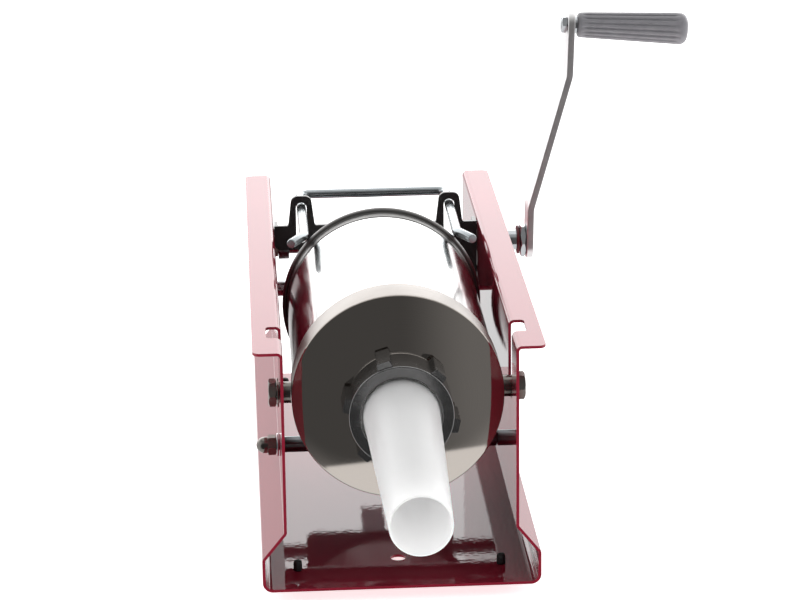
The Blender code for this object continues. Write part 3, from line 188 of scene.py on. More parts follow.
# Rear plate and latch bail
PISTON_ROOM = 0.0754
PLATE_FROM_FRONT = CYLINDER_BACK + PISTON_ROOM
PLATE_THICKNESS = 0.003
PLATE_DROP = 0.0022
PLATE_TOP = FLANGE_HEIGHT - PLATE_DROP
LEFT_TAB_HEIGHT = 0.019
RIGHT_TAB_HEIGHT = 0.0525
TAB_CORNER_RADIUS = 0.005
LUG_LENGTH = 0.0112
EAR_CENTRE_SHARE = 0.803
EAR_CENTRE = EAR_CENTRE_SHARE * CYLINDER_DIAMETER / 2
BAIL_DIAMETER = 0.007
BAIL_CLEARANCE = 0.0006
BAIL_BEHIND_PLATE = 0.039
BAIL_TIP_LENGTH = 0.0215
BAIL_SPLAY = 0.0102
BAIL_BEND_RADIUS = 0.007
# How far in from its end, in EASE, and how full the rod is there
BAIL_END_SHARES = ((0, 0.86), (1, 0.95), (2.5, 1))
PLATE_SCREW_DIAMETER = 0.005
PLATE_SCREW_HEAD = 0.0095
PLATE_SCREW_HEAD_HEIGHT = 0.0028
PLATE_NUT_FLATS = 0.008
PLATE_NUT_HEIGHT = 0.004

# Drive
MODULE = 0.0025
PINION_TEETH = 10
RACK_HEIGHT = 0.014
SHAFT_BEHIND_PLATE = 0.023
FRAME_TAIL = 0.119
SHAFT_FROM_FRONT = PLATE_FROM_FRONT + SHAFT_BEHIND_PLATE
FRAME_LENGTH = SHAFT_FROM_FRONT + FRAME_TAIL
SHAFT_DIAMETER = 0.012
BUSH_DIAMETER = 0.016
BUSH_FLANGE_DIAMETER = 0.023
BUSH_FLANGE = 0.0025
COLLAR_RING_DIAMETER = 0.020
COLLAR_RING_LENGTH = 0.008
SHAFT_LEFT_END = 0.005
CRANK_BOSS_DIAMETER = 0.016
CRANK_NUT_HEIGHT = 0.0043
CRANK_NUT_FLATS = 0.024
CRANK_WASHER = 0.0016
CRANK_WASHER_DIAMETER = 0.022
CRANK_WASHER_SPACING = 0.0006
ROLLER_DIAMETER = 0.020
ROLLER_LENGTH = 0.016
PIN_DIAMETER = 0.008
SPACER_DIAMETER = 0.012

# Piston
PISTON_FRONT = 0.122
PISTON_THICKNESS = 0.020
PISTON_CLEARANCE = 0.0006
SEAL_WIDTH = 0.006
SEAL_DEPTH = 0.005
SPIGOT_DIAMETER = 0.0117
PISTON_WASHER_DIAMETER = 0.030
PISTON_WASHER = 0.002
PISTON_NUT_FLATS = 0.018
PISTON_NUT_HEIGHT = 0.009

# Crank arm and grip
ARM_THICKNESS = 0.0052
ARM_WIDTH = 0.024
ARM_OUTSIDE_WALL = 0.0401
ARM_REACH = INNER_WIDTH / 2 + SHEET + ARM_OUTSIDE_WALL
ARM_END = 0.0138
ARM_FIRST_BEND = 0.027
GRIP_HEIGHT = 0.1695
ARM_UPPER_STRAIGHT = 0.038
ARM_OVER_GRIP = 0.0115
ARM_SECOND_BEND = GRIP_HEIGHT - ARM_UPPER_STRAIGHT
ARM_TOP = GRIP_HEIGHT + ARM_OVER_GRIP
ARM_OFFSET = 0.0304
ARM_BEND_RADIUS = 0.022
ARM_LEAN = 0.0016
ARM_EASE = 0.0006
ARM_ROUND_SHARE = 0.9
GRIP_TILT = math.radians(3.6)
GRIP_LENGTH = 0.0843
GRIP_INNER_DIAMETER = 0.0190
GRIP_OUTER_DIAMETER = 0.0246
GRIP_FLUTES = 16
FLUTE_DEPTH = 0.0012
FLUTE_SHARPNESS = 2.5
GRIP_END_RADIUS = 0.006
# How far along the grip, how full it is and how deep its flutes are there
GRIP_SHARES = ((0, 0.82, 0), (0.006, 0.92, 0), (0.015, 0.98, 0), (0.03, 1, 0), (0.05, 1, 0.3),
               (0.075, 1, 0.9), (0.10, 1, 1), (0.5, 1, 1), (0.86, 1, 1), (0.885, 1, 0.85), (0.905, 1, 0.3))
SPINDLE_DIAMETER = 0.008
SPINDLE_SHOULDER_DIAMETER = 0.013
SPINDLE_SHOULDER = 0.0022
SPINDLE_LENGTH_SHARE = 0.83
SPINDLE_NUT_FLATS = 0.012
SPINDLE_NUT_HEIGHT = 0.004

# Places worked out from the sizes
AXIS_Z = FOOT_HEIGHT + AXIS_HEIGHT
HALF_INNER = INNER_WIDTH / 2
HALF_OUTER = HALF_INNER + SHEET
ROD_Z = AXIS_Z - CYLINDER_DIAMETER / 2 - GAP - ROD_DIAMETER / 2
SHAFT_Z = AXIS_Z + RACK_HEIGHT / 2 - MODULE + MODULE * PINION_TEETH / 2
ROLLER_Z = AXIS_Z - RACK_HEIGHT / 2 - GAP - ROLLER_DIAMETER / 2
COLLAR_FACE = COLLAR_LENGTH - CAP_FRONT
NECK_FACE = COLLAR_FACE + NECK_LENGTH
NUT_BACK = COLLAR_FACE + SEAT_GAP
NOZZLE_BACK = NECK_FACE + GAP + GASKET_THICKNESS + GAP
NUT_FRONT = NOZZLE_BACK + NOZZLE_FLANGE + SEAT_GAP + NUT_LIP
SCREW_FROM_FRONT = PLATE_FROM_FRONT + PLATE_THICKNESS + LUG_LENGTH / 2
BEAD_REACH = (CYLINDER_DIAMETER - CYLINDER_WALL + BAIL_DIAMETER) / 2 + 2 * BEAD_RADIUS + BAIL_CLEARANCE
BAIL_Z = AXIS_Z + math.sqrt(BEAD_REACH**2 - EAR_CENTRE**2)

# Smoothness
STEPS = 96
WIDE_STEPS = 240
BEND_STEPS = 10
CORNER_STEPS = 3
FINE_CORNER_STEPS = 6
ROLLER_CORNER_STEPS = 4
DOME_CURVE_STEPS = 15
BAND_STEPS = 9
BEAD_STEPS = 20
SCREW_STEPS = 7
GRIP_END_STEPS = 10
ARM_ROUND_STEPS = 24
FLUTE_STEPS = 16
BAIL_STEPS = 32
BAIL_BEND_STEPS = 16
SHARP = math.radians(32)

# Turns that an arc runs through, in degrees
HALF_TURN = (0, 180)
QUARTER_TURN = (0, 90)
BEAD_SWEEP = (-30, 210)
SCREW_SWEEP = (27, 90)

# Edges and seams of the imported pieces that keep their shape
PLATE_EDGE = 0.0004
STEEL_EDGE = 0.0002
WELD_REACH = 0.00001
FLAT_ANGLE = math.radians(1)

AXES = {"X": (1, 0, 0), "-X": (-1, 0, 0), "-Y": (0, -1, 0), "Z": (0, 0, 1)}
SIDES = ((-1, "left", "-X"), (1, "right", "X"))
# Stands a flat outline up, its X along the frame and its Y upwards
UPRIGHT = Matrix(((0, 0, 1, 0), (1, 0, 0, 0), (0, 1, 0, 0), (0, 0, 0, 1)))


def along(distance_from_front):
    """World Y of a place measured backwards from the frame's front edge."""
    return distance_from_front - FRAME_LENGTH / 2


def above(height_over_base):
    """World Z of a height measured from the underside of the base."""
    return FOOT_HEIGHT + height_over_base


SHAFT_Y = along(SHAFT_FROM_FRONT)


def facing(direction, origin):
    """Placement whose local Z points along a world axis name or vector, at an origin."""
    toward = Vector(AXES[direction] if isinstance(direction, str) else direction)
    turn = Vector((0, 0, 1)).rotation_difference(toward)
    return Matrix.Translation(Vector(origin)) @ turn.to_matrix().to_4x4()


def on_axis(distance_from_front=0):
    return facing("-Y", (0, along(distance_from_front), AXIS_Z))


# Finishes

METAL = 1.0
MIDDLE_RANGE = (0.3, 0.7)
TURNED_LINES = (25, 2600, 25)
MILLED_LINES = (900, 60, 900)


def fill(tree, node, *places, **names):
    """Sets a shader node's inputs, by place or name, to plain values or other nodes' outputs."""
    pairs = list(zip(node.inputs, places))
    for name, value in names.items():
        pairs.append((node.inputs[name.replace("_", " ").title().replace("Ior", "IOR")], value))
    for socket, value in pairs:
        if isinstance(value, bpy.types.NodeSocket):
            tree.links.new(value, socket)
        else:
            socket.default_value = value
    return node


def add(tree, kind, *places, **names):
    return fill(tree, tree.nodes.new("ShaderNode" + kind), *places, **names)


class Finish:
    """A material whose patterns are noises in the piece's own coordinates."""

    def __init__(self, name, colour, roughness, metallic=0.0, **inputs):
        self.material = bpy.data.materials.new(name)
        self.material.use_nodes = True
        self.tree = self.material.node_tree
        self.shader = self.tree.nodes["Principled BSDF"]
        self.colour = colour
        self.roughness = roughness
        fill(self.tree, self.shader, base_color=(*colour, 1), roughness=roughness, metallic=metallic,
             subsurface_radius=(1, 1, 1), **inputs)

    def place(self, stretch=(1, 1, 1), shift=(0, 0, 0)):
        """The piece's own coordinates, stretched along the three axes and then shifted."""
        source = add(self.tree, "TexCoord").outputs["Object"]
        return add(self.tree, "Mapping", vector=source, scale=stretch, location=shift).outputs["Vector"]

    def radius(self):
        """Distance from the cylinder's axis, as a place along one line."""
        length = add(self.tree, "VectorMath", self.place((1, 0, 1), (0, 0, -AXIS_Z)))
        length.operation = "LENGTH"
        return add(self.tree, "CombineXYZ", length.outputs["Value"]).outputs["Vector"]

    def noise(self, scale, detail, place):
        made = add(self.tree, "TexNoise", scale=scale, detail=detail, vector=place or self.place())
        return made.outputs["Fac"]

    def tint(self, share, scale, detail=3, place=None):
        """Shades the colour lighter and darker by a share."""
        ramp = add(self.tree, "ValToRGB", self.noise(scale, detail, place))
        for element, spot, level in zip(ramp.color_ramp.elements, MIDDLE_RANGE, (1 - share, 1 + share)):
            element.position = spot
            element.color = (*[min(1, part * level) for part in self.colour], 1)
        fill(self.tree, self.shader, base_color=ramp.outputs["Color"])
        return self

    def gloss(self, share, scale, detail=3, place=None):
        """Varies the roughness by a share."""
        low, high = MIDDLE_RANGE
        source = self.noise(scale, detail, place)
        level = add(self.tree, "MapRange", value=source, from_min=low, from_max=high,
                    to_min=self.roughness * (1 - share), to_max=self.roughness * (1 + share))
        fill(self.tree, self.shader, roughness=level.outputs["Result"])
        return self

    def relief(self, depth, strength, scale, detail=3, place=None, coat=False):
        """Raises the surface, to a depth in metres."""
        source = self.noise(scale, detail, place)
        bump = add(self.tree, "Bump", height=source, distance=depth, strength=strength)
        fill(self.tree, self.shader, normal=bump.outputs["Normal"])
        if coat:
            fill(self.tree, self.shader, coat_normal=bump.outputs["Normal"])
        return self


def red_paint():
    made = Finish("red_paint", (0.29, 0.016, 0.037), 0.35, 0.08, coat_weight=1.0, coat_roughness=0.03,
                  specular_ior_level=0.0)
    return made.tint(0.05, 9).relief(0.00003, 0.8, 300, 1, coat=True).material


def tube_steel():
    made = Finish("tube_steel", (0.66, 0.655, 0.65), 0.10, METAL)
    lines = made.place(TURNED_LINES)
    return made.gloss(0.3, 30).tint(0.03, 1, 4, lines).relief(0.000003, 0.35, 1, 4, lines).material


def cap_steel():
    made = Finish("cap_steel", (0.58, 0.53, 0.485), 0.06, METAL)
    rings = made.radius()
    made.gloss(0.35, 1900, 3, rings).tint(0.05, 1900, 3, rings)
    return made.relief(0.000005, 0.5, 1900, 3, rings).material


# The cap's own steel for its skirt, rougher, with its colour darkened as painted shade
def painted_shade_skirt_steel():
    made = Finish("painted_shade_skirt_steel", (0.235, 0.212, 0.195), 0.34, METAL)
    lines = made.place(TURNED_LINES)
    return made.gloss(0.2, 1, 4, lines).tint(0.05, 60).relief(0.000003, 0.35, 1, 4, lines).material


def band_steel():
    made = Finish("band_steel", (0.30, 0.295, 0.29), 0.45, METAL)
    return made.gloss(0.2, 40).tint(0.12, 25).relief(0.00001, 0.35, 300).material


def zinc_plate():
    made = Finish("zinc_plate", (0.56, 0.58, 0.60), 0.16, METAL)
    return made.tint(0.05, 160, 4).gloss(0.12, 420).relief(0.000004, 0.3, 900, 2).material


def satin_zinc():
    made = Finish("satin_zinc", (0.93, 0.92, 0.92), 0.42, METAL)
    return made.tint(0.05, 130, 4).gloss(0.10, 350).relief(0.000006, 0.3, 700, 2).material


def dull_zinc():
    made = Finish("dull_zinc", (0.38, 0.41, 0.425), 0.2, METAL)
    return made.tint(0.06, 120, 4).gloss(0.12, 300).relief(0.000005, 0.3, 700).material


def dark_zinc():
    made = Finish("dark_zinc", (0.20, 0.185, 0.17), 0.2, METAL)
    return made.tint(0.08, 150, 4).gloss(0.12, 320).relief(0.000005, 0.3, 700).material


def cast_metal():
    made = Finish("cast_metal", (0.27, 0.268, 0.268), 0.25, METAL)
    return made.tint(0.06, 40, 2).gloss(0.12, 90, 2).relief(0.000006, 0.3, 500, 2).material


def machined_steel():
    made = Finish("machined_steel", (0.26, 0.26, 0.27), 0.33, METAL)
    made.tint(0.12, 90, 5).gloss(0.3, 500)
    return made.relief(0.00001, 0.4, 1, 3, made.place(MILLED_LINES)).material


def nozzle_plastic():
    made = Finish("nozzle_plastic", (0.92, 0.915, 0.91), 0.36, subsurface_weight=1.0, subsurface_scale=0.012)
    return made.tint(0.02, 12).gloss(0.15, 200).relief(0.00001, 0.4, 800, 2).material


def white_plastic():
    made = Finish("white_plastic", (0.78, 0.79, 0.78), 0.38, subsurface_weight=0.2, subsurface_scale=0.003)
    return made.tint(0.03, 25).relief(0.00001, 0.4, 700, 2).material


def grip_plastic():
    made = Finish("grip_plastic", (0.265, 0.26, 0.28), 0.42)
    return made.tint(0.08, 180, 4).gloss(0.2, 300).relief(0.00004, 0.6, 2600, 2).material


def black_paint():
    made = Finish("black_paint", (0.027, 0.025, 0.026), 0.33, coat_weight=0.35, coat_roughness=0.12)
    return made.tint(0.12, 40).relief(0.00003, 0.5, 900, 2, coat=True).material


def black_rubber():
    made = Finish("black_rubber", (0.02, 0.02, 0.021), 0.62)
    return made.tint(0.15, 70).gloss(0.15, 160).relief(0.00003, 0.6, 1600).material


def nylon():
    made = Finish("nylon", (0.74, 0.72, 0.65), 0.42, subsurface_weight=0.15, subsurface_scale=0.002)
    return made.tint(0.04, 60).relief(0.00002, 0.5, 900, 2).material


def silicone():
    made = Finish("silicone", (0.55, 0.075, 0.045), 0.5, subsurface_weight=0.1, subsurface_scale=0.001)
    return made.tint(0.06, 50).relief(0.00002, 0.5, 1100, 2).material


def red_fibre():
    made = Finish("red_fibre", (0.14, 0.010, 0.018), 0.5)
    return made.tint(0.18, 300, 5).relief(0.00003, 0.5, 1500).material


def floor_finish():
    made = Finish("studio_floor", (0.88, 0.88, 0.88), 0.6, emission_color=(1, 1, 1, 1),
                  emission_strength=FLOOR_GLOW)
    return made.tint(0.01, 3).material


RED = red_paint()
TUBE = tube_steel()
CAP = cap_steel()
PAINTED_SHADE_SKIRT = painted_shade_skirt_steel()
BAND = band_steel()
ZINC = zinc_plate()
DULL_ZINC = dull_zinc()
SATIN_ZINC = satin_zinc()
DARK_ZINC = dark_zinc()
CAST = cast_metal()
STEEL = machined_steel()
NOZZLE = nozzle_plastic()
WHITE = white_plastic()
GRIP = grip_plastic()
BLACK = black_paint()
RUBBER = black_rubber()
NYLON = nylon()
SILICONE = silicone()
FIBRE = red_fibre()

# Mesh tools

STRAIGHT_CORNER = 0.001
CORNER_SHARE = 0.49
TOUCHING = 0.000001


def rounded(points, radii, closed=True, steps=BEND_STEPS):
    """Rounds the corners of a 2D line, each by its radius as far as its edges allow."""
    count = len(points)
    if not isinstance(radii, (list, tuple)):
        radii = [radii] * count
    result = []
    for i, (point, radius) in enumerate(zip(points, radii)):
        corner = Vector(point)
        before = Vector(points[i - 1]) - corner
        after = Vector(points[(i + 1) % count]) - corner
        shorter = min(before.length, after.length)
        plain = radius == 0 or shorter == 0 or (not closed and i in (0, count - 1))
        half = 0 if plain else before.angle(after) / 2
        if plain or math.cos(half) < STRAIGHT_CORNER:
            result.append(tuple(point))
            continue
        radius = min(radius, CORNER_SHARE * shorter * math.tan(half))
        before, after = before.normalized(), after.normalized()
        centre = corner + (before + after).normalized() * radius / math.sin(half)
        start = corner + before * radius / math.tan(half) - centre
        end = corner + after * radius / math.tan(half) - centre
        sweep = start.angle_signed(end)
        for step in range(steps + 1):
            result.append(tuple(centre + Matrix.Rotation(-sweep * step / steps, 2) @ start))
    return result


def arc(sweep, steps, height, radius, tall, wide):
    """Part of an ellipse as (height, radius) pairs, between the two turns of its sweep in degrees."""
    first, last = sweep
    turns = [math.radians(first + (last - first) * step / steps) for step in range(steps + 1)]
    return [(height + tall * math.cos(turn), radius + wide * math.sin(turn)) for turn in turns]


def baked(work):
    """The finished mesh of a working one, with its faces pointing outwards."""
    mesh = bpy.data.meshes.new("baked")
    bmesh.ops.recalc_face_normals(work, faces=work.faces)
    work.to_mesh(mesh)
    work.free()
    return mesh


def lathe(profile, steps=STEPS, closed=False):
    """Turns (height, radius) pairs about local Z. A pair may be a function of the turn."""
    work = bmesh.new()
    rings = []
    for pair in profile:
        if not callable(pair) and pair[1] == 0:
            rings.append([work.verts.new((0, 0, pair[0]))])
            continue
        ring = []
        for i in range(steps):
            turn = math.tau * i / steps
            height, radius = pair(turn) if callable(pair) else pair
            ring.append(work.verts.new((radius * math.cos(turn), radius * math.sin(turn), height)))
        rings.append(ring)
    for upper, lower in zip(rings, rings[1:] + rings[:1] if closed else rings[1:]):
        for i in range(steps):
            spots = ((upper, i), (lower, i), (lower, i + 1), (upper, i + 1))
            corners = list(dict.fromkeys(ring[spot % len(ring)] for ring, spot in spots))
            if len(corners) > 2:
                work.faces.new(corners)
    return baked(work)


def show(node, mesh, finish, matrix=Matrix(), name=None):
    """Puts a finished mesh in place of its node, on the node's body."""
    name = name or node + "_detail"
    mesh.name = name
    mesh.transform(matrix)
    mesh.materials.clear()
    mesh.materials.append(finish)
    mesh.shade_smooth()
    mesh.set_sharp_from_angle(angle=SHARP)
    made = bpy.data.objects.new(name, mesh)
    bpy.context.scene.collection.objects.link(made)
    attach(made, NODES[node]["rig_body"])
    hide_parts(node)
    return made


def turned(node, profile, finish, matrix, steps=STEPS, closed=False, ease=EASE):
    """Shows a turned piece with its corners eased."""
    if ease and not any(callable(pair) for pair in profile):
        profile = rounded(profile, ease, closed, CORNER_STEPS)
        if not closed:
            profile = [(height, max(radius, 0)) for height, radius in profile]
    return show(node, lathe(profile, steps, closed), finish, matrix)


def tube(node, top, bottom, outer, inner, finish, matrix, steps=STEPS):
    turned(node, [(top, inner), (top, outer), (bottom, outer), (bottom, inner)], finish, matrix, steps, True)


def washer(node, outer, thickness, bore, direction, origin, finish=ZINC):
    tube(node, thickness, 0, outer / 2, bore / 2, finish, facing(direction, origin))


def hex_rings(flats, low, high):
    """Profile of a hexagon with turned chamfers at both ends, from its top circle to its bottom one."""
    circle = flats / 2 * HEX_CIRCLE_SHARE
    slope = math.tan(HEX_CHAMFER)

    def reach(turn):
        return flats / 2 / math.cos((turn + math.pi / 6) % (math.pi / 3) - math.pi / 6)

    def upper(turn):
        return high - (reach(turn) - circle) * slope, reach(turn)

    def lower(turn):
        return low + (reach(turn) - circle) * slope, reach(turn)

    return [(high, circle), upper, lower, (low, circle)]


def hex_nut(node, flats, height, bore, direction, origin, finish=ZINC):
    lead = NUT_LEAD_SHARE * bore
    thread = bore / 2
    profile = [(height, thread + lead), *hex_rings(flats, 0, height), (0, thread + lead), (lead, thread),
               (height - lead, thread)]
    turned(node, profile, finish, facing(direction, origin), closed=True)


def hex_bolt(node, flats, head, shank, length, direction, origin, finish=ZINC):
    profile = [(head, 0), *hex_rings(flats, 0, head), (0, shank / 2), (-length, shank / 2), (-length, 0)]
    turned(node, profile, finish, facing(direction, origin))


def temporary(data, matrix=Matrix()):
    helper = bpy.data.objects.new("temporary", data)
    bpy.context.scene.collection.objects.link(helper)
    helper.matrix_world = matrix
    return helper


def applied(helper):
    """The mesh of a helper with its modifiers applied. The helper itself goes."""
    bpy.context.view_layer.update()
    mesh = bpy.data.meshes.new_from_object(helper.evaluated_get(bpy.context.evaluated_depsgraph_get()))
    bpy.data.objects.remove(helper)
    return mesh


def flat_mesh(outline, thickness):
    """A flat piece with its outline in local XY and its thickness shared either side of it."""
    curve = bpy.data.curves.new("outline", "CURVE")
    curve.dimensions = "2D"
    curve.fill_mode = "BOTH"
    curve.extrude = thickness / 2
    spline = curve.splines.new("POLY")
    spline.points.add(len(outline) - 1)
    for point, (x, y) in zip(spline.points, outline):
        point.co = (x, y, 0, 1)
    spline.use_cyclic_u = True
    work = bmesh.new()
    work.from_mesh(applied(temporary(curve)))
    bmesh.ops.remove_doubles(work, verts=work.verts, dist=TOUCHING)
    return baked(work)


def carved(mesh, cuts, operation="DIFFERENCE"):
    """The mesh with (mesh, matrix) shapes cut from it or combined with it."""
    body = temporary(mesh)
    helpers = [temporary(*shape) for shape in cuts]
    for helper in helpers:
        joint = body.modifiers.new("cut", "BOOLEAN")
        joint.operation = operation
        joint.solver = "EXACT"
        joint.object = helper
    result = applied(body)
    for helper in helpers:
        bpy.data.objects.remove(helper)
    return result


def softened(made, width, segments=2):
    """Gives a piece's edges a small bevel that catches the light."""
    bevel = made.modifiers.new("edges", "BEVEL")
    bevel.width = width
    bevel.segments = segments
    bevel.limit_method = "ANGLE"
    bevel.angle_limit = SHARP
    bevel.harden_normals = False
    normals = made.modifiers.new("normals", "WEIGHTED_NORMAL")
    normals.keep_sharp = False


def drill_shape(radius, length, steps=STEPS):
    return lathe([(length / 2, 0), (length / 2, radius), (-length / 2, radius), (-length / 2, 0)], steps)


# The object's pieces


def screw_levels(side):
    high = above(PLATE_TOP)
    margin = (LEFT_TAB_HEIGHT - TAB_CORNER_RADIUS) / 2
    if side < 0:
        return [high - margin]
    return [high - RIGHT_TAB_HEIGHT + TAB_CORNER_RADIUS + margin, high - margin]


def frame_sheet():
    """The folded sheet with its slots, notches, holes and softly broken edges."""
    middle = SHEET / 2
    wall = HALF_INNER + middle
    skirt = BASE_WIDTH / 2 - middle
    top = above(FLANGE_HEIGHT - middle)
    right = [
        (skirt, above(middle)),
        (skirt, above(SHOULDER_FOOT)),
        (wall, above(SHOULDER_TOP)),
        (wall, top),
        (FLANGE_SPAN / 2, top),
    ]
    radii = [BASE_BEND_RADIUS, BEND_RADIUS, BEND_RADIUS, BEND_RADIUS, 0]
    section = rounded([(-x, z) for x, z in reversed(right)] + right, radii[::-1] + radii, closed=False)
    half = FRAME_LENGTH / 2
    count = len(section)
    mesh = bpy.data.meshes.new("sheet")
    points = [(x, y, z) for y in (-half, half) for x, z in section]
    mesh.from_pydata(points, [], [(i, i + 1, count + i + 1, count + i) for i in range(count - 1)])
    folded = temporary(mesh)
    thick = folded.modifiers.new("sheet", "SOLIDIFY")
    thick.thickness = SHEET
    thick.offset = 0
    thick.use_even_offset = True

    cuts = []
    for side in (-1, 1):
        bores = [
            (ROD_THREAD_DIAMETER, ROD_FROM_FRONT, ROD_Z),
            (BUSH_DIAMETER, SHAFT_FROM_FRONT, SHAFT_Z),
            (PIN_DIAMETER, SHAFT_FROM_FRONT, ROLLER_Z),
            *[(PLATE_SCREW_DIAMETER, SCREW_FROM_FRONT, z) for z in screw_levels(side)],
        ]
        for bore, back, z in bores:
            cuts.append((drill_shape(bore / 2 + GAP, OVERCUT), facing("X", (side * wall, along(back), z))))
        for end in (-1, 1):
            nipple = (side * FOOT_SPACING / 2, end * (half - FOOT_FROM_FRONT), above(middle))
            cuts.append((drill_shape(FOOT_NECK_DIAMETER / 2 + GAP, OVERCUT), facing("Z", nipple)))
            cuts.append(flange_corner(side, end))
        cuts += [trunnion_slot(side), flange_notch(side)]
    drain = (0, along(DRAIN_HOLE_FROM_FRONT), above(middle))
    cuts.append((drill_shape(DRAIN_HOLE_DIAMETER / 2, OVERCUT), facing("Z", drain)))
    made = show("frame_channel", carved(applied(folded), cuts), RED, name="frame_sheet")
    softened(made, EASE, 3)


def trunnion_slot(side):
    bottom = AXIS_Z - TRUNNION_DIAMETER / 2 - GAP
    top = above(FLANGE_HEIGHT) + OVERCUT
    front, back = along(SLOT_FRONT), along(SLOT_BACK)
    corners = [(front, bottom), (back, bottom), (back, top), (front, top)]
    outline = rounded(corners, [SLOT_SEAT_RADIUS, SLOT_BOTTOM_RADIUS, 0, 0])
    return flat_mesh(outline, OVERCUT), Matrix.Translation((side * (HALF_INNER + SHEET / 2), 0, 0)) @ UPRIGHT


def flange_notch(side):
    inner = side * (HALF_INNER - OVERCUT / 2)
    outer = side * (HALF_OUTER + NOTCH_DEPTH)
    front, back = along(SLOT_FRONT), along(SLOT_BACK)
    corners = [(inner, front), (outer, front), (outer, back), (inner, back)]
    outline = rounded(corners, [0, NOTCH_CORNER_RADIUS, NOTCH_CORNER_RADIUS, 0])
    return flat_mesh(outline, 2 * (BEND_RADIUS + SHEET)), Matrix.Translation((0, 0, above(FLANGE_HEIGHT)))


def flange_corner(side, end):
    """What is cut away to round one flange corner."""
    radius = FLANGE_CORNER_RADIUS
    x, y = side * FLANGE_SPAN / 2, end * FRAME_LENGTH / 2
    arch = arc(QUARTER_TURN, 2 * BEND_STEPS, y - end * radius, x - side * radius, end * radius, side * radius)
    outline = [(across, back) for back, across in arch]
    far_x, far_y = x + side * OVERCUT, y + end * OVERCUT
    outline += [(far_x, outline[-1][1]), (far_x, far_y), (outline[0][0], far_y)]
    return flat_mesh(outline, OVERCUT * 2), Matrix.Translation((0, 0, above(FLANGE_HEIGHT)))


def feet():
    neck = FOOT_NECK_DIAMETER / 2
    crown = FOOT_NIPPLE_DIAMETER / 2
    pad = FOOT_DIAMETER / 2
    top = FOOT_NIPPLE_HEIGHT + SHEET
    profile = [(top, 0), *[(top - crown * down, crown * out) for down, out in NIPPLE_SHARES]]
    profile += [(SHEET + GAP, crown), (SHEET + GAP, neck), (-GAP, neck)]
    profile += [(-max(GAP, FOOT_HEIGHT * down), pad * out) for down, out in FOOT_SHARES]
    profile.append((-FOOT_HEIGHT, 0))
    for side, tag, _ in SIDES:
        for end, word in ((-1, "front"), (1, "back")):
            spot = (side * FOOT_SPACING / 2, end * (FRAME_LENGTH / 2 - FOOT_FROM_FRONT), FOOT_HEIGHT)
            turned(f"foot_{tag}_{word}", profile, RUBBER, facing("Z", spot))


def cylinder_tube():
    """Polished open tube with a low band and a rolled bead at its back."""
    outer = CYLINDER_DIAMETER / 2
    inner = outer - CYLINDER_WALL
    band = -CYLINDER_BACK + BAND_WIDTH
    bead = -CYLINDER_BACK + BEAD_RADIUS
    profile = [(-CYLINDER_FRONT, inner), (-CYLINDER_FRONT, outer)]
    profile += arc(HALF_TURN, BAND_STEPS, band, outer, BAND_RIB, BAND_RIB)
    profile.append((bead + BEAD_RADIUS, outer + BAND_RIB / 2))
    rim = outer - CYLINDER_WALL / 2 + BEAD_RADIUS
    profile += arc(BEAD_SWEEP, BEAD_STEPS, bead, rim, BEAD_RADIUS, BEAD_RADIUS)
    profile.append((-CYLINDER_BACK, inner))
    made = turned("cylinder_tube", profile, TUBE, on_axis(), WIDE_STEPS, True, ease=0)
    made.data.materials.append(BAND)
    for face in made.data.polygons:
        outside = Vector((face.center.x, face.center.z - AXIS_Z)).length > outer
        if outside and face.center.y > along(CYLINDER_BACK - BAND_WIDTH - BAND_RIB):
            face.material_index = 1


def front_cap():
    """Spun cap with a domed face, a collar and a threaded neck."""
    outer = CAP_DIAMETER / 2
    inner = CYLINDER_DIAMETER / 2 + GAP
    start = COLLAR_DIAMETER / 2
    crest = NECK_DIAMETER / 2
    root = crest - THREAD_DEPTH
    profile = [(NECK_FACE, NECK_BORE / 2), (NECK_FACE, root)]
    radii = [EASE, EASE]
    height = NECK_FACE - THREAD_PITCH / 2
    while height - THREAD_PITCH > COLLAR_FACE:
        profile += [(height, crest), (height - THREAD_PITCH / 2, root)]
        radii += [EASE / 2, EASE / 2]
        height -= THREAD_PITCH
    profile += [(COLLAR_FACE, root), (COLLAR_FACE, start)]
    radii += [EASE, 2 * EASE]
    centre = CAP_SWELL - CAP_FRONT - math.sqrt(CAP_FACE_RADIUS**2 - start**2)
    for step in range(DOME_STEPS):
        spot = start + (outer - start) * step / DOME_STEPS
        profile.append((centre + math.sqrt(CAP_FACE_RADIUS**2 - spot**2), spot))
        radii.append(0 if step else 4 * EASE)
    profile += [(-CAP_FRONT - CAP_DOME, outer), (-CAP_BACK, outer), (-CAP_BACK, inner)]
    radii += [CAP_EDGE_RADIUS, EASE, EASE]
    profile += [(-CYLINDER_FRONT + GAP, inner), (-CYLINDER_FRONT + GAP, NECK_BORE / 2)]
    radii += [EASE, EASE]
    made = turned("front_cap", rounded(profile, radii), CAP, on_axis(), WIDE_STEPS, True, ease=0)
    # The skirt and the cap's inside take the darker copy of the cap's steel: painted shade
    made.data.materials.append(PAINTED_SHADE_SKIRT)
    for face in made.data.polygons:
        if abs(face.normal.y) < 0.5 and face.center.y > along(CAP_FRONT + CAP_DOME):
            face.material_index = 1


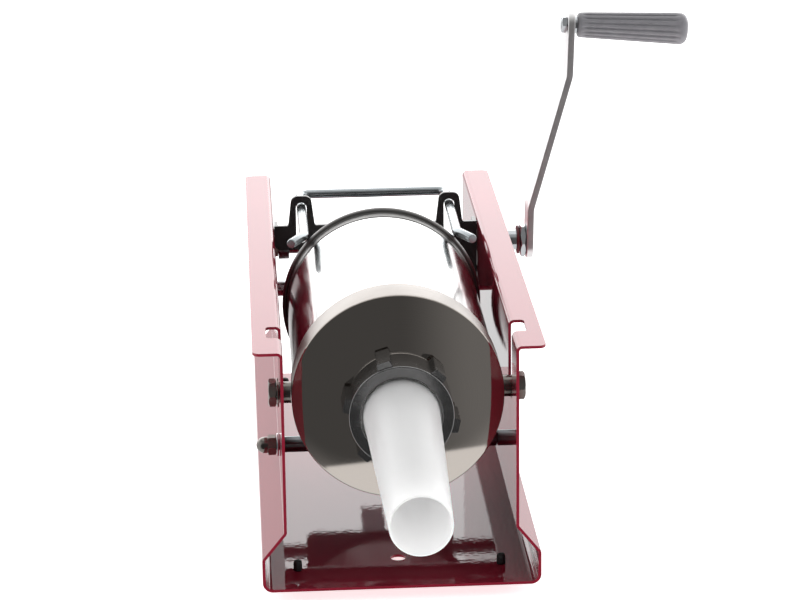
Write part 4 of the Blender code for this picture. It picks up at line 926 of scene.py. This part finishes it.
def trunnions():
    y = along(TRUNNION_FROM_FRONT)
    start = CAP_DIAMETER / 2 + GAP
    end = HALF_OUTER + SEAT_GAP
    root = start - BEND_RADIUS
    bore = TRUNNION_BOLT_DIAMETER / 2 + GAP
    outer = TRUNNION_DIAMETER / 2
    profile = rounded([(end, bore), (end, outer), (root, outer), (root, bore)], EASE, True, CORNER_STEPS)
    core = (drill_shape(start, 4 * CAP_BACK, WIDE_STEPS), facing("-Y", (0, y, AXIS_Z)))
    washer_at = end + GAP
    head_at = washer_at + TRUNNION_WASHER + GAP
    for side, tag, direction in SIDES:
        boss = lathe(profile, STEPS, True)
        boss.transform(facing(direction, (0, y, AXIS_Z)))
        show("trunnion_boss_" + tag, carved(boss, [core]), DARK_ZINC)
        washer("trunnion_washer_" + tag, TRUNNION_WASHER_DIAMETER, TRUNNION_WASHER, 2 * bore, direction,
               (side * washer_at, y, AXIS_Z), DARK_ZINC)
        hex_bolt("trunnion_bolt_" + tag, TRUNNION_HEAD_FLATS, TRUNNION_HEAD_HEIGHT, TRUNNION_BOLT_DIAMETER,
                 head_at - start - GAP, direction, (side * head_at, y, AXIS_Z), DARK_ZINC)


def ring_nut():
    """Cast ring nut with rounded gripping lugs."""
    inner = NECK_DIAMETER / 2 + GAP
    outer = NUT_DIAMETER / 2
    opening = NUT_OPENING / 2
    lip = NUT_FRONT - NUT_LIP
    profile = [(NUT_FRONT, opening), (NUT_FRONT, outer), (NUT_BACK, outer)]
    profile += [(NUT_BACK, inner), (lip, inner), (lip, opening)]
    radii = [2 * EASE, 3 * EASE, 2 * EASE, EASE, EASE, EASE]
    body = lathe(rounded(profile, radii, steps=FINE_CORNER_STEPS), WIDE_STEPS, True)
    low = outer - NUT_LIP / 2
    high = LUG_SPAN / 2
    half = LUG_WIDTH / 2
    tip = half * LUG_TIP_SHARE
    outline = rounded([(low, -half), (high, -tip), (high, tip), (low, half)], [0, 3 * EASE, 3 * EASE, 0])
    back = NUT_BACK + GAP
    front = NUT_FRONT - LUG_INSET
    lug = flat_mesh(outline, front - back)
    lugs = []
    for index in range(LUG_COUNT):
        turn = Matrix.Rotation(math.tau * (index + LUG_PHASE) / LUG_COUNT, 4, "Z")
        lugs.append((lug, turn @ Matrix.Translation((0, 0, (front + back) / 2))))
    softened(show("ring_nut", carved(body, lugs, "UNION"), CAST, on_axis()), NUT_EDGE, 3)


def gasket_and_nozzle():
    seat = NECK_FACE + GAP
    outer, inner = NECK_DIAMETER / 2 - GAP, NECK_BORE / 2 - GAP
    tube("nozzle_gasket", seat + GASKET_THICKNESS, seat, outer, inner, SILICONE, on_axis())
    root = NOZZLE_ROOT_DIAMETER / 2
    tip = NOZZLE_TIP_DIAMETER / 2
    rim = NOZZLE_FLANGE_DIAMETER / 2
    end = NUT_FRONT + NOZZLE_REACH
    flange = NOZZLE_BACK + NOZZLE_FLANGE
    profile = [(end, tip - TIP_WALL), (end, tip), (flange, root), (flange, rim), (NOZZLE_BACK, rim),
               (NOZZLE_BACK, root - NOZZLE_WALL)]
    profile = rounded(profile, [TIP_WALL / 3, TIP_WALL / 3, EASE, EASE, EASE, EASE], steps=FINE_CORNER_STEPS)
    turned("nozzle", profile, NOZZLE, on_axis(), WIDE_STEPS, True, ease=0)


def threaded(start, end, diameter):
    """Profile of a thread between two heights, its pitch about that of a coarse metric one."""
    pitch = diameter / PITCHES_PER_DIAMETER
    turns = max(1, int(abs(end - start) / pitch))
    step = (end - start) / turns
    crest = diameter / 2
    root = crest - THREAD_DEPTH_SHARE * pitch
    pairs = []
    for index in range(turns):
        pairs += [(start + step * index, root), (start + step * (index + 0.5), crest)]
    return pairs + [(end, root)]


def cross_rod():
    y = along(ROD_FROM_FRONT)
    shoulder = HALF_INNER - SEAT_GAP
    seat = HALF_OUTER + GAP
    nut_from = seat + ROD_WASHER + GAP
    left = -nut_from - CAP_NUT_LENGTH * CAP_NUT_THREAD_SHARE
    right = nut_from + ROD_NUT_HEIGHT + THREAD_END
    thin, thick = ROD_THREAD_DIAMETER / 2, ROD_DIAMETER / 2
    pairs = [(right, 0), *threaded(right, nut_from, ROD_THREAD_DIAMETER), (shoulder, thin), (shoulder, thick),
             (-shoulder, thick), (-shoulder, thin), (left, thin), (left, 0)]
    turned("cross_rod", pairs, DULL_ZINC, facing("X", (0, y, ROD_Z)), ease=EASE / 2)
    bore = ROD_THREAD_DIAMETER + 2 * GAP
    for side, tag, direction in SIDES:
        washer("rod_washer_" + tag, ROD_WASHER_DIAMETER, ROD_WASHER, bore, direction, (side * seat, y, ROD_Z))
    hex_nut("rod_nut", ROD_NUT_FLATS, ROD_NUT_HEIGHT, bore, "X", (nut_from, y, ROD_Z))
    radius = CAP_NUT_DOME_DIAMETER / 2
    depth = CAP_NUT_LENGTH * CAP_NUT_BORE_SHARE
    dome = arc(QUARTER_TURN, DOME_CURVE_STEPS, CAP_NUT_LENGTH - radius, 0, radius, radius)
    profile = [*dome, (ROD_NUT_HEIGHT, radius), *hex_rings(ROD_NUT_FLATS, 0, ROD_NUT_HEIGHT), (0, bore / 2),
               (depth, bore / 2), (depth, 0)]
    turned("rod_cap_nut", profile, DARK_ZINC, facing("-X", (-nut_from, y, ROD_Z)))


def plate_fasteners():
    y = along(SCREW_FROM_FRONT)
    head = PLATE_SCREW_HEAD / 2
    tall = PLATE_SCREW_HEAD_HEIGHT
    thread = PLATE_SCREW_DIAMETER / 2
    head_at = HALF_OUTER + GAP
    nut_at = HALF_INNER - GAP - PLATE_THICKNESS - GAP
    reach = head_at - nut_at + PLATE_NUT_HEIGHT + GAP
    low, narrow = SCREW_RECESS_SHARES
    dome = arc(SCREW_SWEEP, SCREW_STEPS, 0, 0, tall, head)
    profile = [(tall * low, 0), (tall * low, head * narrow), *dome]
    profile += [(0, thread), (-reach, thread), (-reach, 0)]
    for side, tag, direction in SIDES:
        inward = "-X" if side > 0 else "X"
        for level, z in enumerate(screw_levels(side)):
            turned(f"plate_screw_{tag}_{level}", profile, ZINC, facing(direction, (side * head_at, y, z)))
            hex_nut(f"plate_nut_{tag}_{level}", PLATE_NUT_FLATS, PLATE_NUT_HEIGHT, 2 * (thread + GAP), inward,
                    (side * nut_at, y, z))


def piston():
    """Piston disc with its seal, washer and nut."""
    place = on_axis(PISTON_FRONT)
    outer = CYLINDER_DIAMETER / 2 - CYLINDER_WALL - PISTON_CLEARANCE
    bore = SPIGOT_DIAMETER / 2 + GAP
    groove = outer - SEAL_DEPTH
    back = -PISTON_THICKNESS
    near = (back + SEAL_WIDTH) / 2 + GAP
    far = (back - SEAL_WIDTH) / 2 - GAP
    profile = [(0, bore), (0, outer), (near, outer), (near, groove)]
    profile += [(far, groove), (far, outer), (back, outer), (back, bore)]
    radii = [EASE, SEAL_DEPTH / 4, EASE, EASE, EASE, EASE, SEAL_DEPTH / 4, EASE]
    profile = rounded(profile, radii, steps=FINE_CORNER_STEPS)
    turned("piston_disc", profile, WHITE, place, WIDE_STEPS, True, ease=0)
    seal = outer + PISTON_CLEARANCE / 2
    tube("piston_seal", near - GAP, far + GAP, seal, groove + GAP, SILICONE, place, WIDE_STEPS)
    front = along(PISTON_FRONT) - GAP
    nut = (0, front - PISTON_WASHER - GAP, AXIS_Z)
    washer("piston_washer", PISTON_WASHER_DIAMETER, PISTON_WASHER, 2 * bore, "-Y", (0, front, AXIS_Z))
    hex_nut("piston_nut", PISTON_NUT_FLATS, PISTON_NUT_HEIGHT, 2 * bore, "-Y", nut)


def shaft_and_bushes():
    end = ARM_REACH + ARM_THICKNESS / 2
    left = -HALF_OUTER - SHAFT_LEFT_END
    shoulder = HALF_OUTER + BUSH_FLANGE + 2 * GAP
    boss, thin = CRANK_BOSS_DIAMETER / 2, SHAFT_DIAMETER / 2
    pairs = [(end, 0), (end, boss), (shoulder, boss), (shoulder, thin), (left, thin), (left, 0)]
    turned("crank_shaft", pairs, ZINC, facing("X", (0, SHAFT_Y, SHAFT_Z)), ease=2 * EASE)
    bore = thin + GAP
    outer, rim, ring = BUSH_DIAMETER / 2, BUSH_FLANGE_DIAMETER / 2, COLLAR_RING_DIAMETER / 2
    inside = HALF_INNER - GAP - PLATE_THICKNESS
    seat = HALF_OUTER + GAP
    face = seat + BUSH_FLANGE
    bush = [(face, bore), (face, rim), (seat, rim), (seat, outer), (inside, outer), (inside, bore)]
    ring_to = inside - GAP
    for _, tag, direction in SIDES:
        spot = facing(direction, (0, SHAFT_Y, SHAFT_Z))
        turned("shaft_bush_" + tag, bush, NYLON, spot, closed=True)
        tube("shaft_collar_" + tag, ring_to, ring_to - COLLAR_RING_LENGTH, ring, bore, STEEL, spot)
    bore = CRANK_BOSS_DIAMETER + 2 * GAP
    nut = ARM_REACH - ARM_THICKNESS / 2 - GAP - CRANK_NUT_HEIGHT
    spot = (nut - CRANK_WASHER_SPACING - CRANK_WASHER, SHAFT_Y, SHAFT_Z)
    washer("crank_washer", CRANK_WASHER_DIAMETER, CRANK_WASHER, bore, "X", spot, FIBRE)
    hex_nut("crank_nut", CRANK_NUT_FLATS, CRANK_NUT_HEIGHT, bore, "X", (nut, SHAFT_Y, SHAFT_Z))


def backup_roller():
    place = facing("X", (0, SHAFT_Y, ROLLER_Z))
    bore = PIN_DIAMETER / 2 + GAP
    nut_at = HALF_OUTER + GAP
    reach = nut_at + ROD_NUT_HEIGHT + THREAD_END
    thread = threaded(reach, nut_at, PIN_DIAMETER)
    pairs = [(reach, 0), *thread, *[(-height, radius) for height, radius in reversed(thread)], (-reach, 0)]
    turned("roller_pin", pairs, ZINC, place, ease=EASE / 2)
    half, rim = ROLLER_LENGTH / 2, ROLLER_DIAMETER / 2
    corners = [(half, bore), (half, rim), (-half, rim), (-half, bore)]
    roller = rounded(corners, 2 * EASE, steps=ROLLER_CORNER_STEPS)
    turned("rack_roller", roller, NYLON, place, STEPS, True, ease=0)
    for side, tag, direction in SIDES:
        spot = facing(direction, (0, SHAFT_Y, ROLLER_Z))
        tube("roller_spacer_" + tag, HALF_INNER - GAP, half + GAP, SPACER_DIAMETER / 2, bore, ZINC, spot)
        hex_nut("roller_nut_" + tag, ROD_NUT_FLATS, ROD_NUT_HEIGHT, 2 * bore, direction,
                (side * nut_at, SHAFT_Y, ROLLER_Z))


def crank_arm():
    """Flat bar bent twice, with rounded ends and rolled edges."""
    line = [(ARM_REACH, -ARM_END), (ARM_REACH + ARM_LEAN / 2, ARM_FIRST_BEND)]
    line += [(ARM_REACH + ARM_OFFSET, ARM_SECOND_BEND), (ARM_REACH + ARM_OFFSET + ARM_LEAN, ARM_TOP)]
    line = rounded(line, [0, ARM_BEND_RADIUS, ARM_BEND_RADIUS, 0], closed=False)
    sides = []
    for offset in (-ARM_THICKNESS / 2, ARM_THICKNESS / 2):
        edge = []
        for i, point in enumerate(line):
            run = (Vector(line[min(i + 1, len(line) - 1)]) - Vector(line[max(i - 1, 0)])).normalized()
            edge.append((point[0] + run.y * offset, point[1] - run.x * offset))
        sides.append(edge)
    bar = flat_mesh(sides[0] + sides[1][::-1], ARM_WIDTH)
    bar.transform(Matrix.Translation((0, SHAFT_Y, SHAFT_Z)) @ Matrix.Rotation(math.pi / 2, 4, "X"))
    half = ARM_WIDTH / 2
    corners = [(-half, -ARM_END), (half, -ARM_END), (half, ARM_TOP), (-half, ARM_TOP)]
    stadium = flat_mesh(rounded(corners, half * ARM_ROUND_SHARE, steps=ARM_ROUND_STEPS), 4 * ARM_OFFSET)
    foot = (ARM_REACH, SHAFT_Y, SHAFT_Z)
    bar = carved(bar, [(stadium, Matrix.Translation(foot) @ UPRIGHT)], "INTERSECT")
    holes = [
        (drill_shape(CRANK_BOSS_DIAMETER / 2 + GAP, 4 * ARM_THICKNESS), facing("X", foot)),
        (drill_shape(SPINDLE_DIAMETER / 2 + GAP, 4 * ARM_THICKNESS), grip_place()),
    ]
    softened(show("crank_arm", carved(bar, holes), SATIN_ZINC), ARM_EASE, 3)


def grip_place():
    """Placement on the grip's axis where it meets the middle of the arm."""
    share = (GRIP_HEIGHT - ARM_SECOND_BEND) / (ARM_TOP - ARM_SECOND_BEND)
    origin = (ARM_REACH + ARM_OFFSET + ARM_LEAN * share, SHAFT_Y, SHAFT_Z + GRIP_HEIGHT)
    return facing((math.cos(GRIP_TILT), 0, -math.sin(GRIP_TILT)), origin)


def grip_and_spindle():
    place = grip_place()
    face = ARM_THICKNESS / 2 + GAP
    shoulder = face + SPINDLE_SHOULDER
    radius, wide = SPINDLE_DIAMETER / 2, SPINDLE_SHOULDER_DIAMETER / 2
    reach = ARM_THICKNESS / 2 + SPINDLE_SHOULDER + SPINDLE_LENGTH_SHARE * GRIP_LENGTH
    tail = -face - SPINDLE_NUT_HEIGHT - GAP
    pairs = [(reach, 0), (reach, radius), (shoulder, radius), (shoulder, wide), (face, wide), (face, radius),
             (tail, radius), (tail, 0)]
    turned("grip_spindle", pairs, ZINC, place)
    bore = radius + GAP
    nut = [(0, bore), *hex_rings(SPINDLE_NUT_FLATS, -SPINDLE_NUT_HEIGHT, 0), (-SPINDLE_NUT_HEIGHT, bore)]
    turned("spindle_nut", nut, ZINC, place @ Matrix.Translation((0, 0, -face)), closed=True)
    fluted_grip(place, shoulder + GAP, bore, reach + GAP)


def fluted_grip(place, start, bore, depth):
    """Tapered grip with long rounded flutes that fade out at both ends."""
    end_share = GRIP_END_RADIUS / GRIP_LENGTH
    curve = 2 * GRIP_END_RADIUS / GRIP_OUTER_DIAMETER
    rounding = arc(QUARTER_TURN, GRIP_END_STEPS, 1 - curve, 1 - end_share, curve, end_share)

    def ring(share, fullness, flute):
        radius = (GRIP_INNER_DIAMETER + (GRIP_OUTER_DIAMETER - GRIP_INNER_DIAMETER) * share) / 2 * fullness

        def at(turn):
            groove = FLUTE_DEPTH * flute * (0.5 + 0.5 * math.cos(GRIP_FLUTES * turn)) ** FLUTE_SHARPNESS
            return start + GRIP_LENGTH * share, radius - groove

        return at

    rings = [ring(*station) for station in GRIP_SHARES] + [ring(share, full, 0) for full, share in rounding]
    profile = [(depth, 0), (depth, bore), (start, bore), *rings, (start + GRIP_LENGTH, 0)]
    turned("grip", profile, GRIP, place, GRIP_FLUTES * FLUTE_STEPS)


def latch_bail():
    """One bent rod: cross bar, two legs and tips splayed outwards, with rounded ends."""
    back = along(PLATE_FROM_FRONT + BAIL_BEHIND_PLATE)
    bend = along(CYLINDER_BACK)
    tip = (EAR_CENTRE + BAIL_SPLAY, bend - BAIL_TIP_LENGTH)
    half = [tip, (EAR_CENTRE, bend), (EAR_CENTRE, back)]
    corners = [(-x, y) for x, y in half] + half[::-1]
    line = rounded(corners, [0] + [BAIL_BEND_RADIUS] * 4 + [0], closed=False, steps=BAIL_BEND_STEPS)
    last = len(line) - 1
    radius = BAIL_DIAMETER / 2
    work = bmesh.new()
    rings = []
    for i, (x, y) in enumerate(line):
        run = (Vector(line[min(i + 1, last)]) - Vector(line[max(i - 1, 0)])).normalized().to_3d()
        across = Vector((-run.y, run.x, 0))
        stations = [(0, 1)]
        if i == 0:
            stations = [(inset * EASE, fullness) for inset, fullness in BAIL_END_SHARES]
        elif i == last:
            stations = [(-inset * EASE, fullness) for inset, fullness in reversed(BAIL_END_SHARES)]
        for inset, fullness in stations:
            centre = Vector((x, y, BAIL_Z)) + run * inset
            ring = []
            for step in range(BAIL_STEPS):
                turn = math.tau * step / BAIL_STEPS
                reach = across * math.cos(turn) + Vector((0, 0, math.sin(turn)))
                ring.append(work.verts.new(centre + reach * radius * fullness))
            rings.append(ring)
    for one, other in zip(rings, rings[1:]):
        for i in range(BAIL_STEPS):
            j = (i + 1) % BAIL_STEPS
            work.faces.new((one[i], one[j], other[j], other[i]))
    work.faces.new(rings[0])
    work.faces.new(rings[-1])
    show("latch_bail", baked(work), DULL_ZINC)


def kept_nodes():
    """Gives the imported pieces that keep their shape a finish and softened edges."""
    kept = {name: (STEEL, STEEL_EDGE) for name in ("rack", "pinion", "pinion_pin")}
    kept["rear_plate"] = (BLACK, PLATE_EDGE)
    for name, (finish, width) in kept.items():
        node = NODES[name]
        node.data.materials[0] = finish
        weld = node.modifiers.new("weld", "WELD")
        weld.merge_threshold = WELD_REACH
        flat = node.modifiers.new("flat", "DECIMATE")
        flat.decimate_type = "DISSOLVE"
        flat.angle_limit = FLAT_ANGLE
        softened(node, width)


frame_sheet()
feet()
cylinder_tube()
front_cap()
trunnions()
ring_nut()
gasket_and_nozzle()
cross_rod()
plate_fasteners()
piston()
shaft_and_bushes()
backup_roller()
crank_arm()
grip_and_spindle()
latch_bail()
kept_nodes()

# Studio

FOCAL_PIXELS = 2964.247
PICTURE_WIDTH = 800
SENSOR_WIDTH = 36
CLIP_START = 0.01
CAMERA_PLACE = (-0.10412, -2.09686, 0.80509)
CAMERA_DOWN = math.radians(17.5073)
CAMERA_ASIDE = math.radians(3.2061)
CAMERA_ROLL = math.radians(-0.6883)
BACKDROP = 2.9
ROOM = 1.0
CEILING = 0.45
GROUND = 1.0
DARK_SIDE = 0.08
RIGHT_SIDE = 0.12
FRONT_FADE = (-0.75, -0.3)
BACK_FADE = (0.2, 0.85)
FLOOR_FADE = (-0.02, 0.03)
RIGHT_FADE = (0.05, 0.5)
CEILING_FADE = (0.45, 0.9)
GROUND_FADE = (-0.645, -0.66)
GROUND_SLOPE = -0.115
FLOOR_GLOW = 0.75
FLOOR_REACH = 12
LAMP_PLACE = (0, 0.5, 1.9)
LAMP_AIM = (0, 0.1, 0)
LAMP_SIZE = (2.0, 1.6)
LAMP_POWER = 7


def camera():
    """The photograph's own view, found from the object's edges in it."""
    down, aside, roll = CAMERA_DOWN, CAMERA_ASIDE, CAMERA_ROLL
    forward = Vector((math.sin(aside) * math.cos(down), math.cos(aside) * math.cos(down), -math.sin(down)))
    level = Vector((math.cos(aside), -math.sin(aside), 0))
    upward = level.cross(forward)
    right = math.cos(roll) * level + math.sin(roll) * upward
    up = -math.sin(roll) * level + math.cos(roll) * upward
    turn = Matrix((right, up, -forward)).transposed()
    lens = bpy.data.cameras.new("camera")
    lens.sensor_width = SENSOR_WIDTH
    lens.lens = FOCAL_PIXELS * SENSOR_WIDTH / PICTURE_WIDTH
    lens.clip_start = CLIP_START
    made = bpy.data.objects.new("camera", lens)
    made.matrix_world = Matrix.Translation(CAMERA_PLACE) @ turn.to_4x4()
    bpy.context.scene.collection.objects.link(made)
    bpy.context.scene.camera = made


def floor():
    mesh = bpy.data.meshes.new("floor")
    far = FLOOR_REACH
    mesh.from_pydata([(-far, -far, 0), (far, -far, 0), (far, far, 0), (-far, far, 0)], [], [(0, 1, 2, 3)])
    mesh.materials.append(floor_finish())
    made = bpy.data.objects.new("floor", mesh)
    bpy.context.scene.collection.objects.link(made)
    made.visible_glossy = False


def overhead_lamp():
    lamp = bpy.data.lights.new("overhead", "AREA")
    lamp.shape = "RECTANGLE"
    lamp.size, lamp.size_y = LAMP_SIZE
    lamp.energy = LAMP_POWER
    made = bpy.data.objects.new("overhead", lamp)
    aim = (Vector(LAMP_AIM) - Vector(LAMP_PLACE)).to_track_quat("-Z", "Y")
    made.matrix_world = Matrix.Translation(LAMP_PLACE) @ aim.to_matrix().to_4x4()
    bpy.context.scene.collection.objects.link(made)


def bright_room():
    """A white room, brightest behind the object, with the dark side of the studio in front of it."""
    world = bpy.data.worlds.new("studio")
    world.use_nodes = True
    tree = world.node_tree
    x, y, z = add(tree, "SeparateXYZ", add(tree, "TexCoord").outputs["Generated"]).outputs

    def ramp(source, fade, low, high):
        start, end = fade
        made = add(tree, "MapRange", value=source, from_min=start, from_max=end, to_min=low, to_max=high)
        made.interpolation_type = "SMOOTHSTEP"
        return made.outputs["Result"]

    def blend(share, one, other):
        return add(tree, "Mix", factor=share, a=one, b=other).outputs["Result"]

    def combined(operation, *sources):
        made = add(tree, "Math", *sources)
        made.operation = operation
        return made.outputs[0]

    side = ramp(y, FRONT_FADE, DARK_SIDE, ROOM)
    back = ramp(y, BACK_FADE, 0, BACKDROP - ROOM)
    walls = combined("MULTIPLY_ADD", back, ramp(z, FLOOR_FADE, 0, 1), side)
    walls = combined("ADD", walls, ramp(x, RIGHT_FADE, 0, RIGHT_SIDE))
    ceiling = blend(ramp(z, CEILING_FADE, 0, 1), walls, CEILING)
    slanted = combined("MULTIPLY_ADD", x, GROUND_SLOPE, z)
    ground = blend(ramp(slanted, GROUND_FADE, 0, 1), ceiling, GROUND)
    fill(tree, tree.nodes["Background"], color=(1, 1, 1, 1), strength=ground)
    bpy.context.scene.world = world


camera()
floor()
overhead_lamp()
bright_room()
bpy.context.scene.view_settings.view_transform = "Standard"
